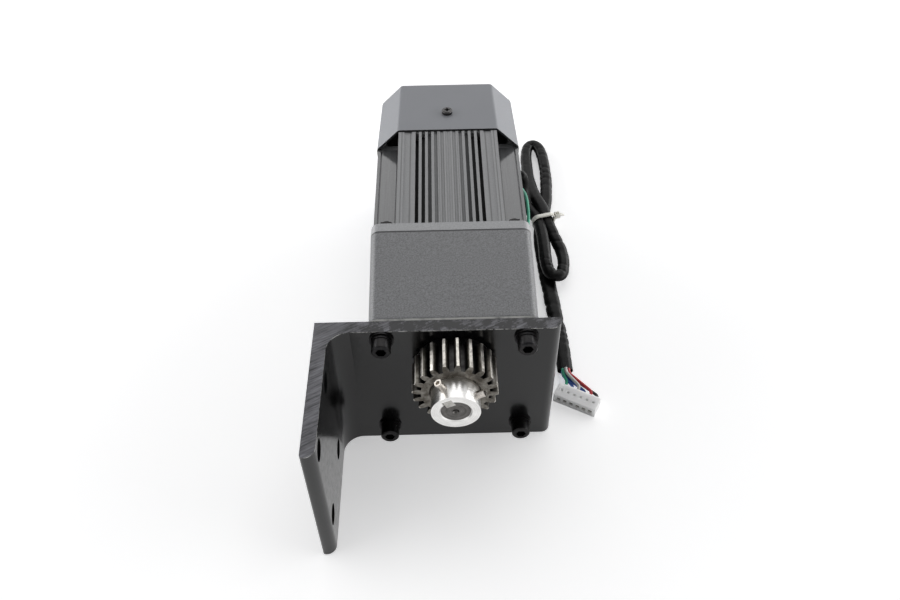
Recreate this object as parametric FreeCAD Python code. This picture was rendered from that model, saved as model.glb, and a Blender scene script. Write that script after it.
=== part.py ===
import FreeCAD, Part
import math
import os

# Gear motor on an angle bracket. Millimetres, +Z up, +Y from the pinion back to the fan.
# The origin is on the output shaft's axis, in the middle of the drive pinion's width.

# Clearances shared by everything that fits or moves
FIT = 0.02               # radial, pressed or seated pieces
RUN = 0.05               # radial, running journals
BACKLASH = 0.20          # along the pitch circle, each gear pair
AIR = 0.5                # free air beside moving pieces
SLACK = 0.3              # radial, bolts and covers in their clearance holes

# Drive pinion, its hub and the shaft end
PINION_TEETH = 20
PINION_MODULE = 2.0
PINION_WIDTH = 18.0
PINION_GAP = 2.4         # pinion to bracket plate
PINION_TURN = 86.1       # direction of one tooth, degrees from +X
PINION_BORE_CHAMFER = 0.9
HUB_D = 25.0
HUB_OVERHANG = 12.0
HUB_CHAMFER = 0.7
SHAFT_D = 15.0
SHAFT_RECESS = 0.6       # shaft end inside the hub's face
CENTRE_HOLE_D = 3.6      # 60 degree centre with a pilot hole
CENTRE_PILOT_D = 1.6
CENTRE_HOLE_DEPTH = 5.0
KEY_W = 5.0
KEY_LENGTH = 25.0
KEY_DEPTH = 3.0          # keyway depth in the shaft
KEY_GAP = 0.5            # keyways cut deeper than the key
KEY_SIDE = 0.15          # and wider, each side
KEY_ANGLE = 118.0        # direction seen from the pinion's end, degrees from +X
SET_SCREW_D = 4.0
SET_SCREW_LENGTH = 9.0
SET_SCREW_SOCKET = 2.2
SET_SCREW_SPREAD = 90.0  # angle between the two set screws

# Rolled steel angle, cut to length
ANGLE_WIDE = 125.0
ANGLE_LEG = 80.0
ANGLE_T = 7.0
ANGLE_CUT = 91.0
ANGLE_ROOT_R = 11.0
ANGLE_TOE_R = 5.0
ANGLE_EDGE_R = 1.5       # outer edge of the leg's toe
ANGLE_RIGHT = 54.5       # plate's right end from the shaft axis
ANGLE_TOP = 25.0         # cut edge above the shaft axis
BOSS_HOLE_D = 40.0
LEG_HOLE_D = 11.0
LEG_HOLES_Y = 39.0
LEG_HOLES_Z = 58.5
LEG_HOLES_TOE = 30.0     # pattern centre from the leg's toe edge
LEG_HOLES_TOP = 39.25    # pattern centre below the top edge

# Screws that clamp bracket, gear case and motor
BOLT_D = 6.0
BOLT_HEAD_D = 10.0
BOLT_HEAD_H = 6.0
BOLT_HEAD_CHAMFER = 0.6
BOLT_SOCKET = 5.0
BOLT_SOCKET_DEPTH = 3.0
BOLT_TIP = 3.0           # thread left beyond the nut
BOLT_EDGE = 8.23         # screw axis from the motor's sides, a 104 mm pitch circle
SPRING_WASHER_D = 10.8
SPRING_WASHER_T = 1.6
SPRING_WASHER_SPLIT = 1.2
FLAT_WASHER_D = 12.4
FLAT_WASHER_T = 1.2
NUT_AF = 10.0
NUT_H = 5.0

# Gear case
SHAFT_OFFSET = 18.0      # output axis above the motor axis
CASE_REAR = 90.0         # the motor's frame size
CASE_DRAFT = 3.0         # narrower at the mounting face
CASE_LENGTH = 65.0
CASE_CORNER_R = 5.0
CASE_INNER_R = 2.0
CASE_EDGE_R = 2.0
SEAM_CHAMFER = 0.7       # on the motor flange's front edges, where it meets the case
CASE_WALL = 4.5
CASE_FRONT_WALL = 14.0
CASE_COLUMN_R = 8.0      # metal round each clamping screw
CASE_BOSS_D = 36.0
CASE_BOSS_H = 4.0
PLATE_T = 9.0
PLATE_LEDGE = 1.2
PLATE_SCREW_EDGE = 5.0   # from the plate's ledge
PLATE_SCREW_Z = 24.0
PLATE_SCREW_D = 4.0
PLATE_SCREW_HEAD_D = 7.6
PLATE_SCREW_LENGTH = 20.0
PLATE_LUG_R = 4.5
SEAL_D = 26.0
SEAL_T = 6.5

# Gear train, three spur stages from the motor to the output shaft
MOTOR_PINION_TEETH = 12
IDLER_1_GEAR_TEETH = 36
IDLER_1_PINION_TEETH = 15
IDLER_2_GEAR_TEETH = 30
IDLER_2_PINION_TEETH = 12
OUTPUT_GEAR_TEETH = 36
MODULE_1 = 0.8
MODULE_2 = 1.0
MODULE_3 = 1.125
SHIFT_RATIO_1 = 0.25        # profile shift of the smaller wheel, of the module
SHIFT_RATIO_2 = 0.20
SHIFT_RATIO_3 = 0.25
IDLER_2_DIRECTION = -35.4   # from the output axis, degrees from +X
PRESSURE_ANGLE = 20.0
ROOT_RATIO = 0.25           # tip clearance, of the module
STAGE_3_SHARE = (0.07, 0.36)   # each stage's teeth, of the room in the case
STAGE_2_SHARE = (0.41, 0.64)
STAGE_1_SHARE = (0.68, 0.91)
IDLER_D = 7.0
IDLER_SHOULDER_D = 11.0
BUSH_D = 11.0
BUSH_LENGTH = 7.0
OUTPUT_SEAT_D = 16.0
OUTPUT_COLLAR_D = 19.0
OUTPUT_WAIST_D = 12.0

# Ball bearings: bore, outside, width
BEARING_OUTPUT = (15.0, 35.0, 11.0)
BEARING_TAIL = (8.0, 16.0, 5.0)
BEARING_MOTOR = (12.0, 32.0, 10.0)
RING_SHARE = 0.3            # each ring's part of the bearing's height
SHIELD_T = 0.6
SHIELD_GAP = 0.2

# Motor flange and finned frame
FLANGE_T = 7.0
SPIGOT_D = 24.0
SPIGOT_H = 2.6
REGISTER_H = 3.0
REGISTER_T = 3.5
FRONT_BEARING_SET_BACK = 5.0
BEARING_BOSS_T = 4.0
MOTOR_HOLE_D = 14.0
FRAME_LENGTH = 86.5
CORNER_WALL = 3.8           # frame's bore to the inner corner between two blocks
FIN_PITCH = 3.85
FIN_GROOVE = 2.1
FIN_GROOVES = 11
FIN_DEPTH = 0.2             # the middle groove; the others get deeper along an arc
FIN_ARC_R = 30.0
PANEL_INSET = 3.7           # shallow panel beside the fins, from the block's end
PANEL_W = 4.7
PANEL_DEPTH = 0.6
LIP_W = 1.8                 # lip along a block's outer corner, behind a narrow groove
LIP_GROOVE = 1.0
LIP_DEPTH = 1.2
RELIEF_W = 1.8              # relief groove in the corner between two blocks
RELIEF_DEPTH = 1.2
TIE_D = 4.0
TIE_HEAD_D = 7.0
TIE_HEAD_H = 4.0
TIE_EDGE = 3.6              # tie bolt from the block's end
TIE_INSET = 6.4             # and from its outer face
TIE_ENGAGE = 6.0

# Stator and rotor
STACK_START = 16.0          # from the flange's rear face
STACK_LENGTH = 50.0
ROTOR_R = 25.0
AIR_GAP = 0.4
STATOR_SLOTS = 24
SLOT_OPENING = 2.0
SLOT_TIP = 1.5
STATOR_YOKE = 5.1           # behind the slots
TOOTH_W = 3.6
COIL_LENGTH = 9.0
COIL_GAP = 0.3
ROTOR_BARS = 16
BAR_D = 4.6
BAR_INSET = 1.2
CAGE_RING_T = 5.0
CAGE_RING_W = 7.0

# Motor shaft, steps back from the pinion
NECK_D = 10.0
ROTOR_SEAT_D = 16.0
ROTOR_SHOULDER_D = 15.0
TACHO_SEAT_D = 10.0
FAN_SEAT_D = 8.0

# Rear end bracket, tachogenerator, fan and its cover
END_WEB_T = 6.0
REAR_BEARING_SET_IN = 3.0   # bearing's front face before the frame's rear end
PRELOAD_T = 0.8
END_WALL_T = 2.5
LUG_W = 16.0
LUG_T = 7.5
LUG_LENGTH = 19.5
TACHO_COIL_D = 37.0
TACHO_COIL_T = 9.0
TACHO_MAGNET_D = 21.0
TACHO_MAGNET_T = 8.0
TACHO_GAP = 0.7
FAN_CLEAR = 9.0             # fan's rim from the cover's sides
FAN_DISC_T = 2.0
FAN_HUB_D = 20.0
FAN_LENGTH = 12.0
FAN_BLADES = 9
FAN_BLADE_T = 1.6
FAN_TO_COVER = 7.0
CLIP_D = 13.0
CLIP_T = 0.9
CLIP_SEAT = 0.6
COVER_LENGTH = 56.4
COVER_GAP = 0.9             # behind the frame's end
COVER_PROUD = 0.75          # front edge beyond the frame's sides
COVER_DRAFT = 1.65          # each side, narrower at the rear
COVER_T = 1.2
COVER_CHAMFER = 14.4        # at the front edge
COVER_EDGE_R = 3.0
COVER_REAR_R = 4.5
COVER_SCREW_SET = 19.8      # from the frame's end
COVER_SCREW_D = 3.0
COVER_SCREW_HEAD_D = 6.8
COVER_SCREW_HEAD_H = 2.4
COVER_SCREW_CROSS = 3.4     # cross recess
COVER_SCREW_LENGTH = 7.0
GRILLE_EDGE = 11.0          # slots' circle from the cover's sides
GRILLE_PITCH = 7.0
GRILLE_SLOT = 3.6

# Leads
BEND_SHARE = 0.45           # of the shorter run, used by each end of a bend
SLEEVE_D = 8.0
GROMMET_D = 14.0
GROMMET_LIP = 2.0
GROMMET_SET = 38.9          # from the frame's end
GROMMET_Z = -22.8           # from the motor axis
WIRE_D = 1.9
EARTH_D = 2.0
EARTH_SCREW_Z = -12.0       # from the motor axis
EARTH_SCREW_D = 4.0
EARTH_SCREW_HEAD_D = 7.0
EARTH_SCREW_HEAD_H = 2.4
EARTH_SCREW_LENGTH = 9.0
LUG_RING_T = 1.0
LUG_RIM = 0.4               # of the ring beyond the screw's head
LUG_BARREL = 5.0
LUG_BARREL_T = 0.5
EARTH_RISE = 4.0            # above the grommet's middle
EARTH_ROUTE = ((4.5, 0.16, -12.0), (6.6, 0.37, -1.0), (6.2, 0.58, 0.0))  # out, share forward, up
EARTH_LAST_SHARE = 0.82     # where the last run into the lug starts
LEAD_OUT = 11.8             # first bend from the motor's side
LEAD_DROP = 12.5            # grommet down to the lead's end on the hank
LEAD_STRAIGHT = 9.0
HANK_OUT = 22.5             # hank's middle from the motor's side
HANK_BACK = 13.5            # and back from the frame's end
HANK_WAIST_W = 15.0
HANK_WAIST_L = 14.0
HANK_WAIST_H = 15.5
REAR_LOOP = ((0.5, 1.5), (1.7, 79.7))       # near and far tips: right and back of the waist's rear
REAR_LOOP_R = 6.6
FRONT_LOOP = ((1.9, -1.0), (3.5, -53.9))    # the same from the waist's front
FRONT_LOOP_R = 6.0
RUN_ROUTE = ((-3.2, 0.0), (-3.2, -21.0), (-2.5, -47.0), (-1.0, -74.0), (0.7, -102.0), (0.7, -130.1))
TIE_BAND_W = 2.6
TIE_BAND_T = 1.2
TIE_BLOCK = 4.6
TIE_TAIL = 6.0
PLUG_WAYS = 6
PLUG_PITCH = 3.96
PLUG_END = 1.2
PLUG_DEPTH = 9.6
PLUG_H = 7.0
PLUG_ANGLE = -29.0
PLUG_FROM_SLEEVE = (4.35, -22.1)
PLUG_WALL = 1.5             # behind the contacts
PLUG_CAVITY = 2.4
PLUG_WINDOW = 1.5
WIRE_ANGLES = (150, 210, 90, 270, 30, 330)   # each wire's place in the sleeve's mouth
WIRE_OUT_OF_SLEEVE = 3.5    # straight run at each end of a wire
WIRE_INTO_PLUG = 4.0
WIRE_FLATTEN = 0.8          # share of the spread kept near the plug

# Planes along the motor, worked out from the sizes above
PINION_FRONT = -PINION_WIDTH / 2
PINION_REAR = PINION_WIDTH / 2
PLATE_FRONT = PINION_REAR + PINION_GAP
FACE = PLATE_FRONT + ANGLE_T                 # gear case's mounting face
CAVITY = FACE + CASE_FRONT_WALL
CASE_END = FACE + CASE_LENGTH
BACK_PLATE = CASE_END - PLATE_T
FLANGE_END = CASE_END + FLANGE_T
FRAME_END = FLANGE_END + FRAME_LENGTH
COVER_START = FRAME_END + COVER_GAP
COVER_END = COVER_START + COVER_LENGTH
MOTOR_Z = -SHAFT_OFFSET
STAGE_1 = (MOTOR_PINION_TEETH, IDLER_1_GEAR_TEETH, MODULE_1, SHIFT_RATIO_1)
STAGE_2 = (IDLER_1_PINION_TEETH, IDLER_2_GEAR_TEETH, MODULE_2, SHIFT_RATIO_2)
STAGE_3 = (IDLER_2_PINION_TEETH, OUTPUT_GEAR_TEETH, MODULE_3, SHIFT_RATIO_3)
STACK_FRONT = FLANGE_END + STACK_START
STACK_REAR = STACK_FRONT + STACK_LENGTH
HALF = CASE_REAR / 2
COVER_FRONT_HALF = HALF + COVER_PROUD
COVER_REAR_HALF = COVER_FRONT_HALF - COVER_DRAFT
CASE_FRONT = CASE_REAR - CASE_DRAFT
CASE_INSIDE = CASE_FRONT - 2 * CASE_WALL + PLATE_LEDGE
BOLT_SQUARE = CASE_REAR - 2 * BOLT_EDGE
FRAME_BLOCK = BOLT_SQUARE - 2 * NUT_AF / math.sqrt(3)   # raised block on each side, up to the nuts
FRAME_BORE_R = FRAME_BLOCK / math.sqrt(2) - CORNER_WALL
TIE_X = FRAME_BLOCK / 2 - TIE_EDGE
TIE_Z = HALF - TIE_INSET
PLATE_SCREW_X = CASE_INSIDE / 2 - PLATE_SCREW_EDGE
SLOT_BOTTOM_R = FRAME_BORE_R - STATOR_YOKE
FAN_D = CASE_REAR - 2 * FAN_CLEAR
GRILLE_R = HALF - GRILLE_EDGE
ANGLE_LEFT = ANGLE_RIGHT - ANGLE_WIDE
FLOOR = ANGLE_TOP - ANGLE_CUT
FRONT_BEARING = FLANGE_END - FLANGE_T + FRONT_BEARING_SET_BACK
REAR_BEARING = FRAME_END - REAR_BEARING_SET_IN
END_WALL = REAR_BEARING + BEARING_MOTOR[2] + PRELOAD_T
FAN_END = COVER_END - COVER_T - FAN_TO_COVER
FAN_START = FAN_END - FAN_LENGTH
EARTH_Y = CASE_END + FLANGE_T / 2
EARTH_Z = MOTOR_Z + EARTH_SCREW_Z
SLEEVE_Z = FLOOR + SLEEVE_D / 2              # sleeve lying on the floor
HANK_X = HALF + HANK_OUT
HANK_Y = FRAME_END + HANK_BACK
HANK_FRONT = HANK_Y - HANK_WAIST_L / 2
HANK_REAR = HANK_Y + HANK_WAIST_L / 2
SLEEVE_END = (HANK_X + RUN_ROUTE[-1][0], HANK_FRONT + RUN_ROUTE[-1][1])


def vec(x, y, z):
    return FreeCAD.Vector(x, y, z)


def polar(angle, radius=1.0):
    """X and Z of a point at an angle, in degrees, seen from the pinion's end."""
    return radius * math.cos(math.radians(angle)), radius * math.sin(math.radians(angle))


def centre_distance(stage):
    return stage[2] * (stage[0] + stage[1]) / 2


# Gear axes in the XZ plane: the motor's, two idlers' and the output's
AXIS_OUT = (0.0, 0.0)
AXIS_MOTOR = (0.0, MOTOR_Z)
AXIS_IDLER_2 = polar(IDLER_2_DIRECTION, centre_distance(STAGE_3))


def idler_1_axis():
    """Where the first idler meshes with both the motor and the second idler."""
    dx = AXIS_IDLER_2[0] - AXIS_MOTOR[0]
    dz = AXIS_IDLER_2[1] - AXIS_MOTOR[1]
    apart = math.hypot(dx, dz)
    r1 = centre_distance(STAGE_1)
    r2 = centre_distance(STAGE_2)
    along = (r1 ** 2 - r2 ** 2 + apart ** 2) / (2 * apart)
    across = math.sqrt(r1 ** 2 - along ** 2)
    ux, uz = dx / apart, dz / apart
    return AXIS_MOTOR[0] + along * ux + across * uz, AXIS_MOTOR[1] + along * uz - across * ux


AXIS_IDLER_1 = idler_1_axis()


def bearing_toward(a, b):
    """Angle, in degrees, from axis a to axis b."""
    return math.degrees(math.atan2(b[1] - a[1], b[0] - a[0]))


# Small builders

def rod(r, y0, y1, axis=AXIS_OUT):
    return Part.makeCylinder(r, y1 - y0, vec(axis[0], y0, axis[1]), vec(0, 1, 0))


def tube_ring(r_out, r_in, y0, y1, axis=AXIS_OUT):
    return rod(r_out, y0, y1, axis).cut(rod(r_in, y0 - 1, y1 + 1, axis))


def stepped(steps, axis):
    """A turned shaft from (radius, start, end) steps, as one revolved profile."""
    points = [vec(0, steps[0][1], 0)]
    for r, y0, y1 in steps:
        points += [vec(r, y0, 0), vec(r, y1, 0)]
    points.append(vec(0, steps[-1][2], 0))
    kept = [points[0]]
    for p in points[1:]:
        if p.distanceToPoint(kept[-1]) > 1e-6:
            kept.append(p)
    face = Part.Face(Part.makePolygon(kept + [kept[0]]))
    shaft = face.revolve(vec(0, 0, 0), vec(0, 1, 0), 360)
    shaft.translate(vec(axis[0], 0, axis[1]))
    return shaft


def along_x(r, x0, x1, y, z):
    return Part.makeCylinder(r, x1 - x0, vec(x0, y, z), vec(1, 0, 0))


def box(x0, x1, y0, y1, z0, z1):
    return Part.makeBox(x1 - x0, y1 - y0, z1 - z0, vec(x0, y0, z0))


def rounded_square(size, r, y, axis=AXIS_MOTOR):
    """Closed wire, a square with round corners, in the plane y."""
    h = size / 2
    edges = []
    for k in range(4):
        turn = math.radians(90 * k)

        def place(u, v):
            x = u * math.cos(turn) - v * math.sin(turn)
            z = u * math.sin(turn) + v * math.cos(turn)
            return vec(axis[0] + x, y, axis[1] + z)

        corner = r * (1 - math.sqrt(0.5))
        edges.append(Part.LineSegment(place(h, r - h), place(h, h - r)).toShape())
        arc = Part.Arc(place(h, h - r), place(h - corner, h - corner), place(h - r, h))
        edges.append(arc.toShape())
    return Part.Wire(edges)


def square_prism(size, r, y0, y1):
    return Part.Face(rounded_square(size, r, y0)).extrude(vec(0, y1 - y0, 0))


def polygon_prism(points, y0, y1):
    """Prism along Y from (x, z) corners."""
    corners = [vec(x, y0, z) for x, z in points]
    return Part.Face(Part.makePolygon(corners + corners[:1])).extrude(vec(0, y1 - y0, 0))


def hexagon(across_flats, y0, y1, axis):
    return polygon_prism(ring_places(6, across_flats / math.sqrt(3), axis), y0, y1)


def ring_places(count, r, axis):
    """Evenly spaced (x, z) places on a circle round an axis."""
    turns = [polar(360.0 * k / count, r) for k in range(count)]
    return [(axis[0] + x, axis[1] + z) for x, z in turns]


def square_pattern(spacing, axis=AXIS_MOTOR):
    """The four (x, z) corners of a square hole pattern."""
    h = spacing / 2
    return [(axis[0] + sx * h, axis[1] + sz * h) for sx in (-1, 1) for sz in (-1, 1)]


def four_ways(x, z):
    """The same (x, z) place in each quarter round the motor axis."""
    return [(sx * x, MOTOR_Z + sz * z) for sx in (-1, 1) for sz in (-1, 1)]


def edges_at(shape, y):
    """The edges of a shape that lie in one plane across the motor."""
    return [e for e in shape.Edges if all(abs(v.Point.y - y) < 1e-6 for v in e.Vertexes)]


def drill(shape, tools):
    return shape.cut(Part.makeCompound(tools))


def spin_y(shape, degrees, axis=AXIS_MOTOR):
    """Turned the way that carries +X towards +Z."""
    turned = shape.copy()
    turned.rotate(vec(axis[0], 0, axis[1]), vec(0, 1, 0), -degrees)
    return turned


# Involute gears

def involute(angle):
    return math.tan(angle) - angle


def gear_wire(teeth, module, shift, y, axis, tooth_at):
    """Outline of a spur gear with one tooth centred on the direction tooth_at."""
    alpha = math.radians(PRESSURE_ANGLE)
    pitch_r = module * teeth / 2
    base_r = pitch_r * math.cos(alpha)
    tip_r = pitch_r + module * (1 + shift)
    root_r = pitch_r - module * (1 + ROOT_RATIO - shift)
    start_r = max(base_r, root_r)
    half = (math.pi / 2 + 2 * shift * math.tan(alpha)) / teeth - BACKLASH / 4 / pitch_r

    def half_at(r):
        return half + involute(alpha) - involute(math.acos(min(1.0, base_r / r)))

    def at(r, angle):
        return vec(axis[0] + r * math.cos(angle), y, axis[1] + r * math.sin(angle))

    step = 2 * math.pi / teeth
    middle_r = (start_r + tip_r) / 2
    edges = []
    for k in range(teeth):
        c = math.radians(tooth_at) + k * step
        foot, mid, tip = half_at(start_r), half_at(middle_r), half_at(tip_r)
        if start_r > root_r:
            edges.append(Part.LineSegment(at(root_r, c - foot), at(start_r, c - foot)).toShape())
        edges.append(Part.Arc(at(start_r, c - foot), at(middle_r, c - mid), at(tip_r, c - tip)).toShape())
        edges.append(Part.Arc(at(tip_r, c - tip), at(tip_r, c), at(tip_r, c + tip)).toShape())
        edges.append(Part.Arc(at(tip_r, c + tip), at(middle_r, c + mid), at(start_r, c + foot)).toShape())
        if start_r > root_r:
            edges.append(Part.LineSegment(at(start_r, c + foot), at(root_r, c + foot)).toShape())
        valley = c + step / 2
        floor = Part.Arc(at(root_r, c + foot), at(root_r, valley), at(root_r, c + step - foot))
        edges.append(floor.toShape())
    return Part.Wire(edges)


def spur_gear(teeth, module, shift, y0, y1, axis, tooth_at):
    wire = gear_wire(teeth, module, shift, y0, axis, tooth_at)
    return Part.Face(wire).extrude(vec(0, y1 - y0, 0))


def stage_pinion(stage, y0, y1, axis, mate):
    """The smaller wheel of a stage, with a tooth on the line to its mate."""
    return spur_gear(stage[0], stage[2], stage[3], y0, y1, axis, bearing_toward(axis, mate))


def stage_wheel(stage, y0, y1, axis, mate):
    """The larger wheel of a stage, with a gap on the line to its mate."""
    gap = bearing_toward(axis, mate) + 180.0 / stage[1]
    return spur_gear(stage[1], stage[2], -stage[3], y0, y1, axis, gap)


# Ball bearings, shielded on both sides

def bearing_rings(size, y0, axis):
    bore, outside, width = size
    height = (outside - bore) / 2
    ring = RING_SHARE * height
    inner = tube_ring(bore / 2 + ring, bore / 2 + FIT, y0, y0 + width, axis)
    outer = tube_ring(outside / 2 - FIT, bore / 2 + ring + SHIELD_GAP, y0, y0 + width, axis)
    race = tube_ring(outside / 2 - ring, bore / 2, y0 + SHIELD_T, y0 + width - SHIELD_T, axis)
    return outer.cut(race), inner


# Wires and tubes: straight runs joined by the largest tangent arcs that fit

def straight_tube(start, end, radius):
    return Part.makeCylinder(radius, end.distanceToPoint(start), start, end.sub(start))


def bent_tube(start, heading, pivot, axis, radius, degrees):
    """A round bend: the disc at start, square to heading, swung about the pivot."""
    disc = Part.Face(Part.Wire(Part.makeCircle(radius, start, heading)))
    return disc.revolve(pivot, axis, degrees)


def round_tube(points, diameter, name):
    places = [vec(*p) for p in points]
    r = diameter / 2
    pieces = []
    bends = []
    length = 0.0
    last = places[0]
    for before, corner, after in zip(places, places[1:], places[2:]):
        into = corner.sub(before)
        out = after.sub(corner)
        tangent = BEND_SHARE * min(into.Length, out.Length)
        turn = into.getAngle(out)
        bend = tangent / math.tan(turn / 2)
        into.normalize()
        out.normalize()
        start = corner.sub(into * tangent)
        inward = out.sub(into)
        inward.normalize()
        pivot = corner.add(inward * (bend / math.cos(turn / 2)))
        pieces.append(straight_tube(last, start, r))
        pieces.append(bent_tube(start, into, pivot, into.cross(out), r, math.degrees(turn)))
        length += start.distanceToPoint(last) + bend * turn
        bends.append(round(bend, 1))
        last = corner.add(out * tangent)
    pieces.append(straight_tube(last, places[-1], r))
    length += places[-1].distanceToPoint(last)
    tube = pieces[0].fuse(pieces[1:])
    share = tube.Volume / (length * math.pi * r ** 2)
    print(name, "bend radii", bends, "volume share", round(share, 4))
    return tube


# Bracket

def corner_arc(x, y, r, sx, sy):
    """Arc that rounds an upright edge at (x, y), whose metal lies towards (sx, sy), from its X side."""
    inset = r * (1 - math.sqrt(0.5))
    return Part.Arc(vec(x, y + sy * r, FLOOR), vec(x + sx * inset, y + sy * inset, FLOOR),
                    vec(x + sx * r, y, FLOOR)).toShape()


def angle_bracket():
    """Rolled angle: plate behind the pinion, leg forward on the left, round root and toes."""
    inner_x = ANGLE_LEFT + ANGLE_T
    toe_y = FACE - ANGLE_LEG
    rounds = [corner_arc(ANGLE_RIGHT, PLATE_FRONT, ANGLE_TOE_R, -1, 1),
              corner_arc(inner_x, PLATE_FRONT, ANGLE_ROOT_R, 1, -1),
              corner_arc(inner_x, toe_y, ANGLE_TOE_R, -1, 1),
              corner_arc(ANGLE_LEFT, toe_y, ANGLE_EDGE_R, 1, 1)]
    heel = vec(ANGLE_LEFT, FACE, FLOOR)
    plate_end = vec(ANGLE_RIGHT, FACE, FLOOR)
    toe, root, leg_toe, leg_edge = [[v.Point for v in arc.Vertexes] for arc in rounds]
    corners = [plate_end, toe[0], toe[1], root[1], root[0], leg_toe[0],
               leg_toe[1], leg_edge[1], leg_edge[0], heel]
    straights = [Part.LineSegment(corners[k], corners[k + 1]).toShape() for k in range(0, 10, 2)]
    straights.append(Part.LineSegment(heel, plate_end).toShape())
    outline = Part.Wire(Part.__sortEdges__(rounds + straights))
    angle = Part.Face(outline).extrude(vec(0, 0, ANGLE_CUT))
    tools = [rod(BOLT_D / 2 + SLACK, PLATE_FRONT - 1, FACE + 1, p) for p in square_pattern(BOLT_SQUARE)]
    tools.append(rod(BOSS_HOLE_D / 2, PLATE_FRONT - 1, FACE + 1))
    for sy in (-1, 1):
        for sz in (-1, 1):
            y = toe_y + LEG_HOLES_TOE + sy * LEG_HOLES_Y / 2
            z = ANGLE_TOP - LEG_HOLES_TOP + sz * LEG_HOLES_Z / 2
            tools.append(along_x(LEG_HOLE_D / 2, ANGLE_LEFT - 1, inner_x + 1, y, z))
    return drill(angle, tools)


def clamping_screws():
    """Socket screws through bracket, case and flange, with their washers and nuts."""
    flat_front = PLATE_FRONT - FLAT_WASHER_T
    spring_front = flat_front - SPRING_WASHER_T
    head_front = spring_front - BOLT_HEAD_H
    tip = FLANGE_END + NUT_H + BOLT_TIP
    screws, springs, flats, nuts = [], [], [], []
    for p in square_pattern(BOLT_SQUARE):
        head = rod(BOLT_HEAD_D / 2, head_front, spring_front, p)
        head = head.makeChamfer(BOLT_HEAD_CHAMFER, edges_at(head, head_front))
        screw = rod(BOLT_D / 2, spring_front, tip, p).fuse(head).removeSplitter()
        screws.append(screw.cut(hexagon(BOLT_SOCKET, head_front - 1, head_front + BOLT_SOCKET_DEPTH, p)))
        spring = tube_ring(SPRING_WASHER_D / 2, BOLT_D / 2 + FIT, spring_front, flat_front, p)
        half_split = SPRING_WASHER_SPLIT / 2
        split = box(p[0], p[0] + SPRING_WASHER_D, spring_front - 1, flat_front + 1,
                    p[1] - half_split, p[1] + half_split)
        springs.append(spring.cut(split))
        flats.append(tube_ring(FLAT_WASHER_D / 2, BOLT_D / 2 + SLACK, flat_front, PLATE_FRONT, p))
        nut = hexagon(NUT_AF, FLANGE_END, FLANGE_END + NUT_H, p)
        nuts.append(nut.cut(rod(BOLT_D / 2 + FIT, FLANGE_END - 1, FLANGE_END + NUT_H + 1, p)))
    return {"case_screws": screws, "spring_washers": springs, "flat_washers": flats, "case_nuts": nuts}


# Pinion end

def across_shaft(r0, r1, radius, y, angle):
    """A round pin square to the shaft axis, from r0 out to r1."""
    x, z = polar(angle)
    return Part.makeCylinder(radius, r1 - r0, vec(x * r0, y, z * r0), vec(x, 0, z))


def key_block(y0, y1, side, r0, r1):
    half = KEY_W / 2 + side
    return spin_y(box(r0, r1, y0, y1, -half, half), KEY_ANGLE, AXIS_OUT)


def pinion_end():
    hub_front = PINION_FRONT - HUB_OVERHANG
    shaft_front = hub_front + SHAFT_RECESS
    key_top = SHAFT_D / 2 - KEY_DEPTH + KEY_W
    key_front = shaft_front
    key_rear = key_front + KEY_LENGTH
    pinion = spur_gear(PINION_TEETH, PINION_MODULE, 0, PINION_FRONT, PINION_REAR, AXIS_OUT, PINION_TURN)
    pinion_bore = HUB_D / 2 + FIT
    pinion = pinion.cut(rod(pinion_bore, PINION_FRONT - 1, PINION_REAR + 1))
    pinion = pinion.cut(Part.makeCone(pinion_bore + PINION_BORE_CHAMFER, pinion_bore, PINION_BORE_CHAMFER,
                                      vec(0, PINION_FRONT, 0), vec(0, 1, 0)))
    bore_r = SHAFT_D / 2 + FIT
    bore = rod(bore_r, hub_front - 1, PINION_REAR + 1)
    mouth = Part.makeCone(bore_r + HUB_CHAMFER, bore_r, HUB_CHAMFER, vec(0, hub_front, 0), vec(0, 1, 0))
    keyway = key_block(hub_front - 1, PINION_REAR + 1, KEY_SIDE, 0, key_top + KEY_GAP)
    hub = rod(HUB_D / 2, hub_front, PINION_REAR).cut(bore).cut(mouth).cut(keyway)
    screw_y = PINION_FRONT - HUB_OVERHANG / 2
    screws = []
    for angle, seat in ((KEY_ANGLE, key_top), (KEY_ANGLE - SET_SCREW_SPREAD, SHAFT_D / 2)):
        inner = seat + FIT
        screw = across_shaft(inner, inner + SET_SCREW_LENGTH, SET_SCREW_D / 2, screw_y, angle)
        recess = across_shaft(inner + SET_SCREW_LENGTH - SET_SCREW_SOCKET, inner + SET_SCREW_LENGTH + 1,
                              SET_SCREW_SOCKET / 2, screw_y, angle)
        screws.append(screw.cut(recess))
        hub = hub.cut(across_shaft(0, HUB_D, SET_SCREW_D / 2 + FIT, screw_y, angle))
    key = key_block(key_front, key_rear, 0, SHAFT_D / 2 - KEY_DEPTH, key_top)
    return {"drive_pinion": pinion, "pinion_hub": hub, "output_key": key, "hub_set_screws": screws}


# Gear case and train

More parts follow.
